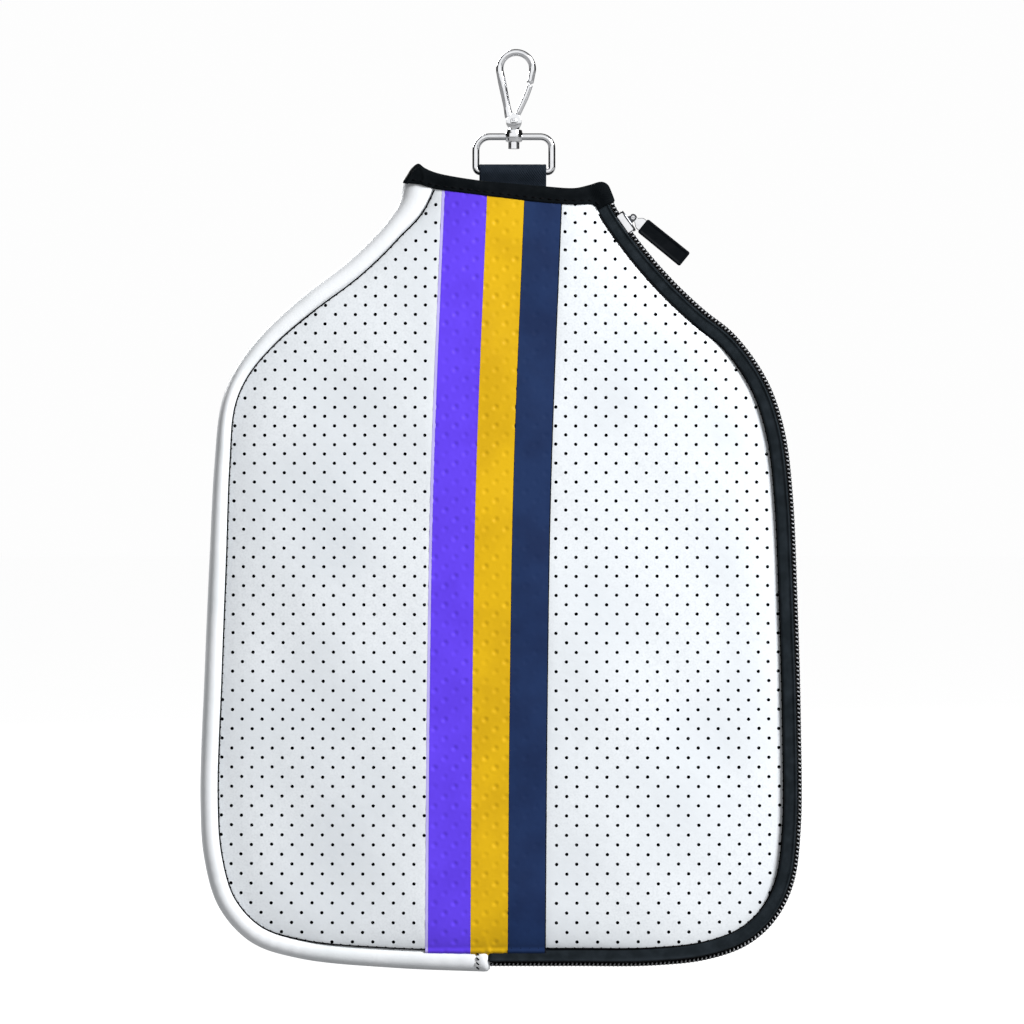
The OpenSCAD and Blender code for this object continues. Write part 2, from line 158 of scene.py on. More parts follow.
BIND = [
    ((-41.0, -47.0), (-41.3, -47.8)), ((-39.6, -45.0), (-38.5, -48.1)), ((-38.2, -42.8), (-36.4, -48.3)),
    ((-35.6, -40.9), (-34.6, -48.6)), ((-33.0, -42.6), (-32.5, -49.3)), ((-28.5, -44.4), (-28.3, -50.3)),
    ((-13.6, -47.1), (-13.4, -52.3)), ((0.0, -48.4), (0.3, -54.0)), ((11.6, -49.4), (11.8, -55.3)),
    ((22.6, -50.0), (22.0, -56.0)), ((28.0, -48.8), (26.5, -55.9)), ((32.5, -47.6), (28.9, -55.9)),
    ((34.8, -48.6), (30.0, -56.4)), ((36.3, -51.6), (30.7, -57.0)), ((37.4, -54.6), (31.4, -57.9)),
]
bind_top = smooth([b[0] for b in BIND], 5)
bind_low = smooth([b[1] for b in BIND], 5)

STRIPE_LEFT = smooth([(-25.4, -44), (-29.8, -158), (-31.2, -240), (-32, -345)], 12)


def stripe_left_x(z):
    return np.interp(-np.asarray(z, float), -STRIPE_LEFT[:, 1], STRIPE_LEFT[:, 0])


# ---- panel surface


def nearest(x, z, *curves):
    """Distance from each point to the nearest of the curves."""
    p = np.stack([np.ravel(x), np.ravel(z)], 1)
    best = np.full(len(p), 1e9)
    for c in curves:
        a, d = c[:-1], np.diff(c, axis=0)
        dd = np.maximum((d * d).sum(1), 1e-9)
        for k in range(0, len(p), 4000):
            q = p[k : k + 4000, None, :]
            t = np.clip(((q - a) * d).sum(2) / dd, 0, 1)
            r = np.linalg.norm(q - (a + d * t[..., None]), axis=2).min(1)
            best[k : k + 4000] = np.minimum(best[k : k + 4000], r)
    return best.reshape(np.shape(x))


def panel_h(x, z, side=-1):
    """Height of a panel's outer face above the case's middle plane, in mm."""
    x, z = np.asarray(x, float), np.asarray(z, float)
    base = 11 - (x + 5) ** 2 / 1818 - (z + 215) ** 2 / 8300
    s = nearest(x, z, left_seam, right_seam)
    seam_h = np.clip(base - 2.3, 2.7, 4.7)
    reach = 11 + 2.4 * (base - seam_h)
    e = np.clip(s / reach, 0, 1)
    h = seam_h + (base - seam_h) * np.sqrt(np.clip(1 - (1 - e) ** 2, 0, 1)) ** 0.9
    k = 1.0 if side < 0 else 1.7
    soft = (
        0.20 * np.sin(x / 13.7 + 0.9 * k + z / 31.0)
        + 0.17 * np.sin(z / 17.3 - x / 24.0 + 1.7 * k)
        + 0.10 * np.sin(x / 7.1 + z / 9.7 + 2.1 * k)
    )
    return h + (soft - 0.25) * ease((s - 2) / 22)


def place(x, z, h, side=-1):
    """Points at height h from the middle plane, on the front for side -1 or the back for 1."""
    return np.stack([x, MID_Y + side * h, z], -1)


# ---- meshes

COLLECTION = bpy.context.scene.collection


def mesh_object(name, verts, faces, mats, face_mats=None, uv=None, flat=False):
    """Makes an object from points in mm. uv holds one pair for each face corner."""
    me = bpy.data.meshes.new(name)
    me.from_pydata((np.asarray(verts, float) * MM).tolist(), [], faces)
    for m in mats if isinstance(mats, (list, tuple)) else [mats]:
        me.materials.append(m)
    if face_mats is not None:
        me.polygons.foreach_set("material_index", np.asarray(face_mats, np.int32))
    if uv is not None:
        me.uv_layers.new(name="UVMap").data.foreach_set("uv", np.asarray(uv, np.float32).ravel())
    if not flat:
        me.polygons.foreach_set("use_smooth", np.ones(len(me.polygons), bool))
    me.validate()
    me.update()
    o = bpy.data.objects.new(name, me)
    COLLECTION.objects.link(o)
    return o


def grid(points, closed_u=False, closed_v=False, cap=False, ulen=None, vlen=None):
    """Quads over an n by m grid of points. Returns verts, faces and a uv pair for each corner."""
    points = np.asarray(points, float)
    n, m = points.shape[:2]
    if ulen is None:
        ulen = lengths(points.mean(1))
    if vlen is None:
        vlen = lengths(points[n // 2])
    ulen = np.append(ulen, 2 * ulen[-1] - ulen[-2])
    vlen = np.append(vlen, 2 * vlen[-1] - vlen[-2])
    faces, uv = [], []
    for i in range(n if closed_u else n - 1):
        for j in range(m if closed_v else m - 1):
            i2, j2 = (i + 1) % n, (j + 1) % m
            faces.append([i * m + j, i2 * m + j, i2 * m + j2, i * m + j2])
            uv += [(ulen[i], vlen[j]), (ulen[i + 1], vlen[j]), (ulen[i + 1], vlen[j + 1]), (ulen[i], vlen[j + 1])]
    if cap and closed_v:
        faces += [list(range(m)), list(range((n - 1) * m, n * m))[::-1]]
        uv += [(0.0, 0.0)] * (2 * m)
    return points.reshape(-1, 3), faces, uv


def join(parts):
    """Joins several (verts, faces, uv) sets, and says which set each face came from."""
    verts, faces, uv, which, base = [], [], [], [], 0
    for k, (v, f, u) in enumerate(parts):
        verts.append(np.asarray(v, float))
        faces += [[i + base for i in q] for q in f]
        uv += list(u)
        which += [k] * len(f)
        base += len(v)
    return np.concatenate(verts), faces, uv, which


def band_sweep(edge, inward, profiles, side_sign=1, **kw):
    """Sweeps profiles of (d, h) along an edge: d is the distance in from it, h the height to the front."""
    pr = np.asarray(profiles, float)
    x = edge[:, None, 0] + inward[:, None, 0] * pr[..., 0]
    z = edge[:, None, 1] + inward[:, None, 1] * pr[..., 0]
    y = MID_Y - side_sign * pr[..., 1]
    return grid(np.stack([x, y, z], -1), **kw)


def tube(path, radius, sides=16, normal=(0, 1, 0), squash=1.0, round_ends=(0, 0)):
    """A tube along a path; radius may change along it. squash scales it along the normal, and round_ends gives
    the length over which each end is rounded."""
    path = np.asarray(path, float)
    r = np.broadcast_to(np.asarray(radius, float), (len(path),)).copy()
    if any(round_ends):
        s = lengths(path)
        first, last = round_ends
        turn = np.linspace(0.12, 1.4, 5)
        start = [(s[0] + first * (1 - math.cos(a)), math.sin(a)) for a in turn] if first else []
        stop = [(s[-1] - last * (1 - math.cos(a)), math.sin(a)) for a in turn[::-1]] if last else []
        keep = (s > s[0] + (first or -1)) & (s < s[-1] - (last or -1))
        t = [e[0] for e in start] + list(s[keep]) + [e[0] for e in stop]
        f = [e[1] for e in start] + [1.0] * int(keep.sum()) + [e[1] for e in stop]
        path = sample(path, s, t)
        r = np.interp(t, s, r) * np.array(f)
    d = np.gradient(path, axis=0)
    d /= np.linalg.norm(d, axis=1)[:, None]
    e1 = np.cross(d, np.asarray(normal, float))
    e1 /= np.linalg.norm(e1, axis=1)[:, None]
    e2 = np.cross(e1, d)
    a = round_angles(sides)
    pts = (
        path[:, None]
        + e1[:, None] * (r[:, None] * np.cos(a))[..., None]
        + e2[:, None] * (squash * r[:, None] * np.sin(a))[..., None]
    )
    return grid(pts, closed_v=True, cap=True, vlen=a * float(r.mean()))


def lathe(profile, centre, axis="z", sides=48, bore=False):
    """Turns a profile of (radius, height) round an axis. With bore its ends are joined up."""
    a = round_angles(sides)
    p = np.asarray(profile, float)
    c, s = np.cos(a)[:, None], np.sin(a)[:, None]
    u, v, w = c * p[:, 0], s * p[:, 0], np.repeat(p[None, :, 1], sides, 0)
    pts = np.stack([u, v, w] if axis == "z" else [u, w, -v], -1) + np.asarray(centre, float)
    verts, faces, uv = grid(pts, closed_u=True, closed_v=bore, ulen=a * p[:, 0].max(), vlen=lengths(p))
    if not bore:
        m = len(p)
        faces.append([i * m for i in range(sides)][::-1])
        faces.append([i * m + m - 1 for i in range(sides)])
        uv += [(0.0, 0.0)] * (2 * sides)
    return verts, faces, uv


def arc(cx, cy, r, a0, a1, n):
    t = np.radians(np.linspace(a0, a1, n))
    return np.stack([cx + r * np.cos(t), cy + r * np.sin(t)], 1)


def recalc(o):
    """Turns the faces outwards, for a closed piece."""
    b = bmesh.new()
    b.from_mesh(o.data)
    bmesh.ops.recalc_face_normals(b, faces=b.faces)
    b.to_mesh(o.data)
    b.free()
    o.data.update()
    return o


def crease(o, angle):
    """Keeps edges sharper than angle sharp, and the rest smooth."""
    o.data.set_sharp_from_angle(angle=math.radians(angle))
    return o


def stitches(places, along, out, length, r, lift=0.25, sides=6):
    """A short arched thread at each place, lying along its direction."""
    places, along, out = (np.asarray(a, float) for a in (places, along, out))
    t = np.linspace(-1, 1, 7)
    ang = round_angles(sides)
    across = np.cross(along, out)
    rr = r * np.sqrt(np.clip(1.02 - t**4, 0, 1))
    centre = (
        places[:, None]
        + along[:, None] * (t * length / 2)[None, :, None]
        + out[:, None] * (lift * (1 - t**2))[None, :, None]
    )
    pts = (
        centre[:, :, None]
        + across[:, None, None] * (rr[:, None] * np.cos(ang))[None, :, :, None]
        + out[:, None, None] * (rr[:, None] * np.sin(ang))[None, :, :, None]
    )
    return join([grid(p, closed_v=True, cap=True) for p in pts])[:3]


# ---- materials


def math_node(tree, op, *values):
    """A math node's output; each value is a number or another node's output."""
    n = tree.nodes.new("ShaderNodeMath")
    n.operation = op
    for socket, v in zip(n.inputs, values):
        if isinstance(v, (int, float)):
            socket.default_value = v
        else:
            tree.links.new(v, socket)
    return n.outputs[0]


def ranged(tree, v, low, high, to_low=0.0, to_high=1.0):
    """Takes low and high to to_low and to_high, and stays between them."""
    n = tree.nodes.new("ShaderNodeMapRange")
    for key, value in (("From Min", low), ("From Max", high), ("To Min", to_low), ("To Max", to_high)):
        n.inputs[key].default_value = value
    tree.links.new(v, n.inputs["Value"])
    return n.outputs["Result"]


def material(name, color, rough=0.5, metallic=0.0, specular=0.5, mottle=(), grains=(), weave=None, shade=None):
    """color is linear. mottle: (scale, colour, low, high) spreads a second colour by noise; grains: (scale,
    depth mm) bumps; weave: (warp mm, weft mm, depth mm, dark share), the dark share being painted shade in the
    weave's gaps; shade: (scale, low, high) varies the roughness."""
    m = bpy.data.materials.new(name)
    m.use_nodes = True
    nt = m.node_tree
    new, link = nt.nodes.new, nt.links.new
    b = nt.nodes["Principled BSDF"]
    b.inputs["Base Color"].default_value = (*color, 1)
    b.inputs["Roughness"].default_value = rough
    b.inputs["Metallic"].default_value = metallic
    b.inputs["Specular IOR Level"].default_value = specular
    tc = new("ShaderNodeTexCoord")
    col, normal = tuple(color), None

    def noise(scale, detail=3.0):
        n = new("ShaderNodeTexNoise")
        n.inputs["Scale"].default_value = scale
        n.inputs["Detail"].default_value = detail
        link(tc.outputs["Object"], n.inputs["Vector"])
        return n.outputs["Fac"]

    def mix(share, a, c):
        n = new("ShaderNodeMix")
        n.data_type = "RGBA"
        link(share, n.inputs["Factor"])
        for k, v in ((6, a), (7, c)):
            if isinstance(v, tuple):
                n.inputs[k].default_value = (*v, 1)
            else:
                link(v, n.inputs[k])
        return n.outputs[2]

    def bump(height, depth):
        nonlocal normal
        n = new("ShaderNodeBump")
        n.inputs["Distance"].default_value = depth * MM
        link(height, n.inputs["Height"])
        if normal is not None:
            link(normal, n.inputs["Normal"])
        normal = n.outputs["Normal"]

    for scale, second, low, high in mottle:
        col = mix(ranged(nt, noise(scale), low, high), col, tuple(second))
    if weave:
        warp, weft, depth, dark = weave
        sep = new("ShaderNodeSeparateXYZ")
        link(tc.outputs["UV"], sep.inputs[0])
        ribs = [math_node(nt, "SINE", math_node(nt, "MULTIPLY", sep.outputs[k], PI / pitch))
                for k, pitch in enumerate((warp, weft))]
        wave = math_node(nt, "MULTIPLY", *ribs)
        bump(wave, depth)
        # Painted shade: the colour darkens in the weave's gaps between the ribs.
        gap_shade = math_node(nt, "MULTIPLY", ranged(nt, wave, 0.4, -1.0), dark)
        col = mix(gap_shade, col, tuple(c * 0.25 for c in color))
    for scale, depth in grains:
        bump(noise(scale, 4.0), depth)
    if shade:
        link(ranged(nt, noise(shade[0]), 0.0, 1.0, *shade[1:]), b.inputs["Roughness"])
    if not isinstance(col, tuple):
        link(col, b.inputs["Base Color"])
    if normal is not None:
        link(normal, b.inputs["Normal"])
    return m


def film_look(name, color, second, low=0.40, rough=0.42, specular=0.2, shade=(0.36, 0.5)):
    """A pressed film: a faintly grained, softly glossy colour."""
    return material(name, color, rough=rough, specular=specular, mottle=[(60, second, low, 0.66)],
                    grains=[(1800, 0.02), (240, 0.06)], shade=(80, *shade))


def cloth(name, color, second, scale, rough, specular, weave, grain):
    """A woven tape, with its weave given as for material()."""
    return material(name, color, rough=rough, specular=specular, weave=weave,
                    mottle=[(scale, second, 0.4, 0.7)], grains=[(1500, grain)])


WHITE = material("shell_white", (0.67, 0.70, 0.73), rough=0.5, specular=0.3, shade=(60, 0.42, 0.6),
                 mottle=[(22, (0.60, 0.635, 0.67), 0.42, 0.68), (1400, (0.62, 0.65, 0.68), 0.45, 0.62)],
                 grains=[(2600, 0.035), (240, 0.12)])
CUT = material("shell_cut_edge", (0.03, 0.032, 0.036), rough=0.9, specular=0.1, grains=[(2500, 0.05)])
FOAM = material("padding_jersey", (0.002, 0.002, 0.003), rough=0.95, specular=0.1, grains=[(3000, 0.06)])
STRIP = material("strip_white", (0.74, 0.76, 0.785), rough=0.4, specular=0.35, shade=(90, 0.34, 0.48),
                 mottle=[(35, (0.67, 0.70, 0.72), 0.42, 0.65)], grains=[(1500, 0.04), (180, 0.12)])
PURPLE = film_look("film_purple", (0.108, 0.046, 0.74), (0.094, 0.038, 0.66))
GOLD = film_look("film_gold", (0.62, 0.375, 0.003), (0.54, 0.32, 0.002), shade=(0.34, 0.48))
NAVY = film_look("film_navy", (0.0085, 0.024, 0.084), (0.006, 0.017, 0.064), 0.38, 0.45, 0.15, (0.38, 0.52))
LILAC = material("film_margin", (0.45, 0.40, 0.78), rough=0.5, specular=0.2, grains=[(1800, 0.02)],
                 mottle=[(90, (0.40, 0.35, 0.72), 0.4, 0.65)])
DARK = material("film_shadow_line", (0.004, 0.005, 0.008), rough=0.7, specular=0.1, grains=[(2000, 0.02)])
BINDING = cloth("binding_tape", (0.0022, 0.0034, 0.0046), (0.0045, 0.006, 0.0075), 300, 0.75, 0.04,
                (0.34, 0.30, 0.05, 0.5), 0.05)
TAPE = cloth("zip_tape", (0.0075, 0.0115, 0.0150), (0.016, 0.022, 0.028), 230, 0.7, 0.08,
             (0.34, 0.30, 0.04, 0.5), 0.04)
WEBBING = cloth("webbing", (0.0085, 0.0135, 0.0210), (0.014, 0.020, 0.030), 300, 0.75, 0.08,
                (0.55, 0.45, 0.10, 0.6), 0.05)
THREAD = material("thread", (0.0012, 0.0013, 0.0018), rough=0.6, specular=0.05, grains=[(5000, 0.04)],
                  mottle=[(900, (0.0035, 0.0035, 0.0045), 0.45, 0.7)])
COIL = material("zip_coil", (0.007, 0.008, 0.010), rough=0.28, specular=0.7, grains=[(3000, 0.01)],
                mottle=[(500, (0.013, 0.015, 0.018), 0.4, 0.7)])
# A lighter grey copy of the coil material: painted highlight on the front crest of each coil turn.
COIL_PAINTED_HIGHLIGHT = material("zip_coil_painted_highlight", (0.36, 0.37, 0.39), rough=0.25, specular=0.8, grains=[(3000, 0.01)],
                     mottle=[(500, (0.26, 0.27, 0.285), 0.4, 0.7)])
CHROME = material("chrome", (0.90, 0.91, 0.93), rough=0.08, metallic=1.0, grains=[(900, 0.010)],
                  mottle=[(400, (0.80, 0.81, 0.84), 0.48, 0.75)], shade=(500, 0.05, 0.14))
DARK_METAL = material("dark_chrome", (0.10, 0.105, 0.115), rough=0.18, metallic=1.0, grains=[(900, 0.012)],
                      mottle=[(400, (0.06, 0.065, 0.07), 0.45, 0.75)], shade=(500, 0.12, 0.26))
RUBBER = material("grip_rubber", (0.0012, 0.0022, 0.0034), rough=0.55, specular=0.05, grains=[(2500, 0.03)],
                  mottle=[(300, (0.003, 0.004, 0.0055), 0.4, 0.7)], shade=(200, 0.48, 0.66))
STEEL = material("spring_steel", (0.42, 0.43, 0.45), rough=0.25, metallic=1.0, grains=[(2500, 0.01)],
                 shade=(600, 0.2, 0.35))

# ---- panels

left_part = left_seam[left_seam[:, 1] < -46.5]
right_part = right_seam[right_seam[:, 1] < -54.0]
top_part = bind_low[(bind_low[:, 0] > left_part[0, 0] + 1.5) & (bind_low[:, 0] < right_part[0, 0] - 1.0)]
top_part = resample(top_part + [0, 2.2], 1.5)
PANEL = np.concatenate([left_part[:-1] - left_of(left_part)[:-1] * 0.5, [(-8.0, -334.3)],
                        (right_part - (-left_of(right_part)) * 0.5)[::-1][1:], top_part[::-1]])


def inside(poly, x, z):
    """Whether each point lies in the closed polygon."""
    hit = np.zeros(np.shape(x), bool)
    a = poly
    b = np.roll(poly, -1, 0)
    for k in range(len(a)):
        up = (a[k, 1] > z) != (b[k, 1] > z)
        if up.any():
            at = (b[k, 0] - a[k, 0]) * (z - a[k, 1]) / (b[k, 1] - a[k, 1]) + a[k, 0]
            hit ^= up & (x < at)
    return hit


def outline_distance(poly, x, z):
    return nearest(x, z, np.concatenate([poly, poly[:1]]))


HOLE_R = 0.66


def hole_places():
    """Rows of perforations, each row half a pitch aside from the next, with the slight spread towards the base."""
    rows, z = [], -345.0
    while z < -40:
        share = (-z - 60) / 280
        rows.append((z, 7.42 + 0.18 * share))
        z += 3.40 + 0.25 * share
    out = []
    for k, (z, pitch) in enumerate(rows):
        m = np.arange(-18, 19)
        x = -5 + (0.5 * (k % 2) + m - 0.25) * pitch
        out.append(np.stack([x, np.full(len(x), z)], 1))
    out = np.concatenate(out)
    return out + RNG.normal(0, 0.05, out.shape)


HOLES = hole_places()
hole_edge = outline_distance(PANEL, *HOLES.T)
hole_in = inside(PANEL, *HOLES.T)
across_stripes = HOLES[:, 0] - stripe_left_x(HOLES[:, 1])
under_film = (across_stripes > -1.7) & (across_stripes < 44.4)
on_shell = hole_in & (hole_edge > 1.5)


def near_rows():
    """Points close to the outline, in rows along it, so that the rolled edge is round."""
    closed = np.concatenate([PANEL, PANEL[:1]])
    ring = resample(closed, 1.6)[:-1]
    d = np.roll(ring, -1, 0) - np.roll(ring, 1, 0)
    d /= np.linalg.norm(d, axis=1)[:, None]
    inward = np.stack([-d[:, 1], d[:, 0]], 1)
    if not inside(PANEL, *(ring + inward * 2).T).mean() > 0.5:
        inward = -inward
    out = []
    for depth in (0.45, 1.0, 1.7, 2.6, 3.8, 5.2, 6.9, 9.0, 11.5):
        q = ring + inward * depth
        ok = inside(PANEL, *q.T) & (outline_distance(PANEL, *q.T) > depth * 0.93)
        out.append(q[ok][:: 1 if depth < 6 else 2])
    return np.concatenate(out)


NEAR = near_rows()
gx, gz = np.meshgrid(np.arange(-116, 106, 3.1), np.arange(-340, -40, 3.1))
GRID = np.stack([gx.ravel() + 1.5 * (np.arange(gx.size) // gx.shape[1] % 2), gz.ravel()], 1)
GRID = GRID[inside(PANEL, *GRID.T)]
GRID = GRID[outline_distance(PANEL, *GRID.T) > 12.5]


def clear_of(points, holes, gap):
    """Whether each point lies farther than gap from every hole's centre."""
    if not len(holes):
        return np.ones(len(points), bool)
    return np.concatenate([np.linalg.norm(points[k : k + 2000, None] - holes[None], axis=2).min(1) > gap
                           for k in range(0, len(points), 2000)])


def triangles(outline, points, holes=(), radius=0.0, sides=10):
    """Triangulates an outline with extra points and round holes; returns points, triangles and the holes' rims."""
    ang = round_angles(sides)
    circle = radius * np.stack([np.cos(ang), np.sin(ang)], 1)
    coords = [outline]
    edges = [(k, (k + 1) % len(outline)) for k in range(len(outline))]
    base = len(outline)
    rims = []
    for h in holes:
        coords.append(h + circle)
        edges += [(base + k, base + (k + 1) % sides) for k in range(sides)]
        rims.append(list(range(base, base + sides)))
        base += sides
    coords.append(points[clear_of(points, holes, radius + 0.45)])
    coords = np.concatenate(coords)
    out = delaunay_2d_cdt([Vector(c) for c in coords], edges, [], 0, 1e-6)
    v = np.array([tuple(c) for c in out[0]])
    tri = np.array([f for f in out[2] if len(f) == 3])
    middle = v[tri].mean(1)
    keep = inside(outline, *middle.T) & clear_of(middle, holes, radius * 0.9)
    where = {}
    for new_id, old in enumerate(out[3]):
        for o in old:
            where[o] = new_id
    return v, tri[keep], [[where[k] for k in r] for r in rims], [where[k] for k in range(len(outline))]


def wall(base, n, side):
    """Quads from the ring of n points at base to the next ring."""
    quads = [[base + k, base + (k + 1) % n, base + n + (k + 1) % n, base + n + k] for k in range(n)]
    return quads if side > 0 else [q[::-1] for q in quads]


def film_well(v):
    """How far the skin is pressed in under the films."""
    u = v[:, 0] - stripe_left_x(v[:, 1])
    return 0.5 * ease((u - 0.2) / 1.2) * ease((43.3 - u) / 1.2)


def shell(name, side, holes, skin_depth=0.8):
    """A perforated skin: its face, the walls of its holes and its turned-down rim."""
    v, tri, rims, border = triangles(PANEL, np.concatenate([NEAR, GRID]), holes, HOLE_R)
    h = panel_h(*v.T, side) - (film_well(v) if side < 0 else 0)
    h[border] = np.minimum(h[border] - 1.2, 4.2)
    top = place(*v.T, h, side)
    verts, faces, mats = [top], (tri if side > 0 else tri[:, ::-1]).tolist(), [0] * len(tri)
    base = len(top)
    for r in rims:
        ring = top[r]
        low = ring + [0, -side * skin_depth, 0]
        low = low.mean(0) + (low - low.mean(0)) * 0.93
        verts += [ring, low]
        faces += wall(base, len(r), side)
        mats += [1] * len(r)
        base += 2 * len(r)
    ring = top[border]
    verts += [ring, ring + [0, -side * 1.2, 0]]
    faces += wall(base, len(border), side)
    mats += [0] * len(border)
    verts = np.concatenate(verts)
    uv = [(verts[i, 0], verts[i, 2]) for f in faces for i in f]
    return mesh_object(name, verts, faces, [WHITE, CUT], mats, uv)


def pad(name, side, top_off=0.86, thick=2.5):
    """The foam behind a skin, with its jersey lining, as one closed crowned pad."""
    v, tri, _, border = triangles(PANEL, np.concatenate([NEAR[::2], GRID]))
    h = panel_h(*v.T, side)
    edge = ease(outline_distance(PANEL, *v.T) / 5)
    outer = place(*v.T, h - top_off, side)
    under = place(*v.T, np.maximum(h - top_off - 0.9 - (thick - 0.9) * edge, 0.5), side)
    n = len(v)
    tri = tri if side > 0 else tri[:, ::-1]
    faces = tri.tolist() + (tri[:, ::-1] + n).tolist()
    m = len(border)
    for k in range(m):
        a, b = border[k], border[(k + 1) % m]
        q = [a, b, b + n, a + n]
        faces.append(q if side > 0 else q[::-1])
    verts = np.concatenate([outer, under])
    uv = [(verts[i, 0], verts[i, 2]) for f in faces for i in f]
    return recalc(mesh_object(name, verts, faces, FOAM, uv=uv))


def bend(o):
    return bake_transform(o)


front_shell = shell("front_shell", -1, HOLES[on_shell & ~under_film])
back_shell = shell("back_shell", 1, HOLES[on_shell] + [1.7, 0.4])
front_pad = pad("front_pad", -1)
back_pad = pad("back_pad", 1)
for o, nodes, name in ((front_shell, ("front_skin", "front_skin_corner"), "shell_fabric"),
                       (front_pad, ("front_padding", "front_padding_corner"), "padding")):
    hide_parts(*nodes)
    bend(o)
for o, nodes, name in ((back_shell, ("back_skin",), "shell_fabric"), (back_pad, ("back_padding",), "padding")):
    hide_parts(*nodes)
    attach(o, "case")

# ---- stripes


def film(name, lo, hi, mat, nodes, lift, dimple):
    """A pressed film along the stripes, dented a little over each hole that it covers."""
    z = np.arange(-335.4, -50.0, 0.5)
    u = np.linspace(lo, hi, max(3, int((hi - lo) / 0.48) + 1))
    zz, uu = np.meshgrid(z, u, indexing="ij")
    xx = stripe_left_x(zz) + uu
    low = np.interp(xx, bind_low[:, 0], bind_low[:, 1]) + 1.6
    zz = np.where(zz > low, low, zz)
    h = panel_h(xx, np.maximum(zz, -332.5), -1) - 1.3 * ease((-333.9 - zz) / 1.4)
    if dimple > 0:
        near = HOLES[(across_stripes > lo - 0.3) & (across_stripes < hi + 0.3)]
        amp = dimple * RNG.uniform(0.35, 1.1, len(near))
        for (hx, hz), a in zip(near, amp):
            rows = np.abs(z - hz) < 2.4
            d2 = (xx[rows] - hx) ** 2 + (zz[rows] - hz) ** 2
            h[rows] -= a * np.exp(-d2 / 0.62) - 0.16 * a * np.exp(-((np.sqrt(d2) - 1.5) ** 2) / 0.25)
    top = place(xx, zz, h + lift, -1)
    edge_l = place(xx[:, :1] - 0.04, zz[:, :1], h[:, :1] - 0.05, -1)
    edge_r = place(xx[:, -1:] + 0.04, zz[:, -1:], h[:, -1:] - 0.05, -1)
    pts = np.concatenate([edge_l, top, edge_r], 1)
    verts, faces, uv = grid(pts, ulen=z - z[0], vlen=np.concatenate([[u[0] - 0.1], u, [u[-1] + 0.1]]))
    o = crease(mesh_object(name, verts, faces, mat, uv=uv), 50)
    if nodes:
        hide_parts(*nodes)
    return bend(o)


film("stripe_purple_film", 0.0, 15.7, PURPLE, ["stripe_purple"], 0.16, 0.34)
film("stripe_gold_film", 15.75, 29.6, GOLD, ["stripe_gold", "stripe_gold_corner"], 0.20, 0.34)
film("stripe_navy_film", 29.8, 43.35, NAVY, ["stripe_navy", "stripe_navy_corner"], 0.16, 0.10)
film("stripe_margin_film", -1.05, 0.02, LILAC, [], 0.08, 0)
# Two thin dark strips of painted shadow: along the gold and navy joint, and along the navy's outer edge.
film("stripe_joint_shadow_line", 29.5, 29.85, DARK, [], 0.13, 0)
film("stripe_edge_shadow_line", 43.3, 43.75, DARK, [], 0.12, 0)

# ---- edge strip


def strip_profile(w):
    """Closed section of the strip, w wide: a soft bead that wraps the rim from seam to seam."""
    half = [(w + 0.35, 2.6), (w + 0.22, 4.2), (w - 0.1, 5.1), (w - 0.8, 5.65), (w - 1.9, 5.95), (w * 0.58, 6.0),
            (w * 0.42, 5.8), (w * 0.28, 5.3), (w * 0.16, 4.5), (w * 0.07, 3.4), (w * 0.02, 2.0), (0.0, 0.7)]
    inner = [(1.35, 0.7), (1.5, 2.2), (w * 0.42, 4.0), (w * 0.7, 4.5), (w - 0.9, 3.0)]
    back = [(d, -h) for d, h in half[::-1]]
    inner_back = [(d, -h) for d, h in inner[::-1]]
    return np.array(half + back + inner_back + inner)


keep = (left_edge[:, 1] < -45.8) & ((left_edge[:, 0] < -9.3) | (left_edge[:, 1] > -300))
s_edge = np.concatenate([left_edge[keep], [[-9.0, -341.97]]])
s_width = np.concatenate([strip_w[keep], [7.8]])
s_edge_fine = resample(np.concatenate([s_edge, s_width[:, None]], 1), 1.0)
s_edge, s_width = s_edge_fine[:, :2], s_edge_fine[:, 2]
s_len = lengths(s_edge)
s_in = left_of(s_edge)
profiles = []
for k in range(len(s_edge)):
    w = s_width[k]
    p = strip_profile(w)
    to_end = s_len[-1] - s_len[k]
    fold = 0.30 * ease((4.6 - to_end) / 0.8) - 0.32 * math.exp(-(((to_end - 4.75) / 0.45) ** 2))
    swell = 1 + (fold + 0.10 * math.sin(s_len[k] / 9.1) * math.sin(s_len[k] / 23.0)) / 6.0
    corner = math.exp(-(((s_edge[k, 0] + 100) / 22) ** 2)) * (1 if s_edge[k, 1] < -300 else 0)
    swell += 0.012 * corner * math.sin(s_len[k] * 1.3) + 0.010 * math.sin(s_len[k] * 0.9) * ease((30 - to_end) / 20)
    p[:, 1] *= swell
    shrink = 0.45 + 0.55 * math.sqrt(1 - max(0.0, 1 - to_end / 2.0) ** 2)
    p = np.stack([w / 2 + (p[:, 0] - w / 2) * (0.5 + 0.5 * shrink), p[:, 1] * shrink], 1)
    profiles.append(p)
v, f, uv = band_sweep(s_edge, s_in, profiles, closed_v=True, cap=True)
strip = recalc(mesh_object("edge_strip_bead", v, f, STRIP, uv=uv))
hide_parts("edge_strip")
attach(strip, "case")

tack = []
for k, z in enumerate((-334.9, -336.7, -338.5, -340.2)):
    tack.append((-13.5 + 0.1 * math.sin(3 * k), MID_Y - 6.05 + 0.25 * (k == 3) + 0.35 * (k == 0), z))
v, f, uv = stitches(tack, [(0.75, 0, -0.66)] * 4, [(0, -1, 0)] * 4, 1.6, 0.30)
bartack = mesh_object("strip_bartack_thread", v, f, THREAD, uv=uv)
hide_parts("strip_bartack")
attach(bartack, "case")

# ---- seam stitches


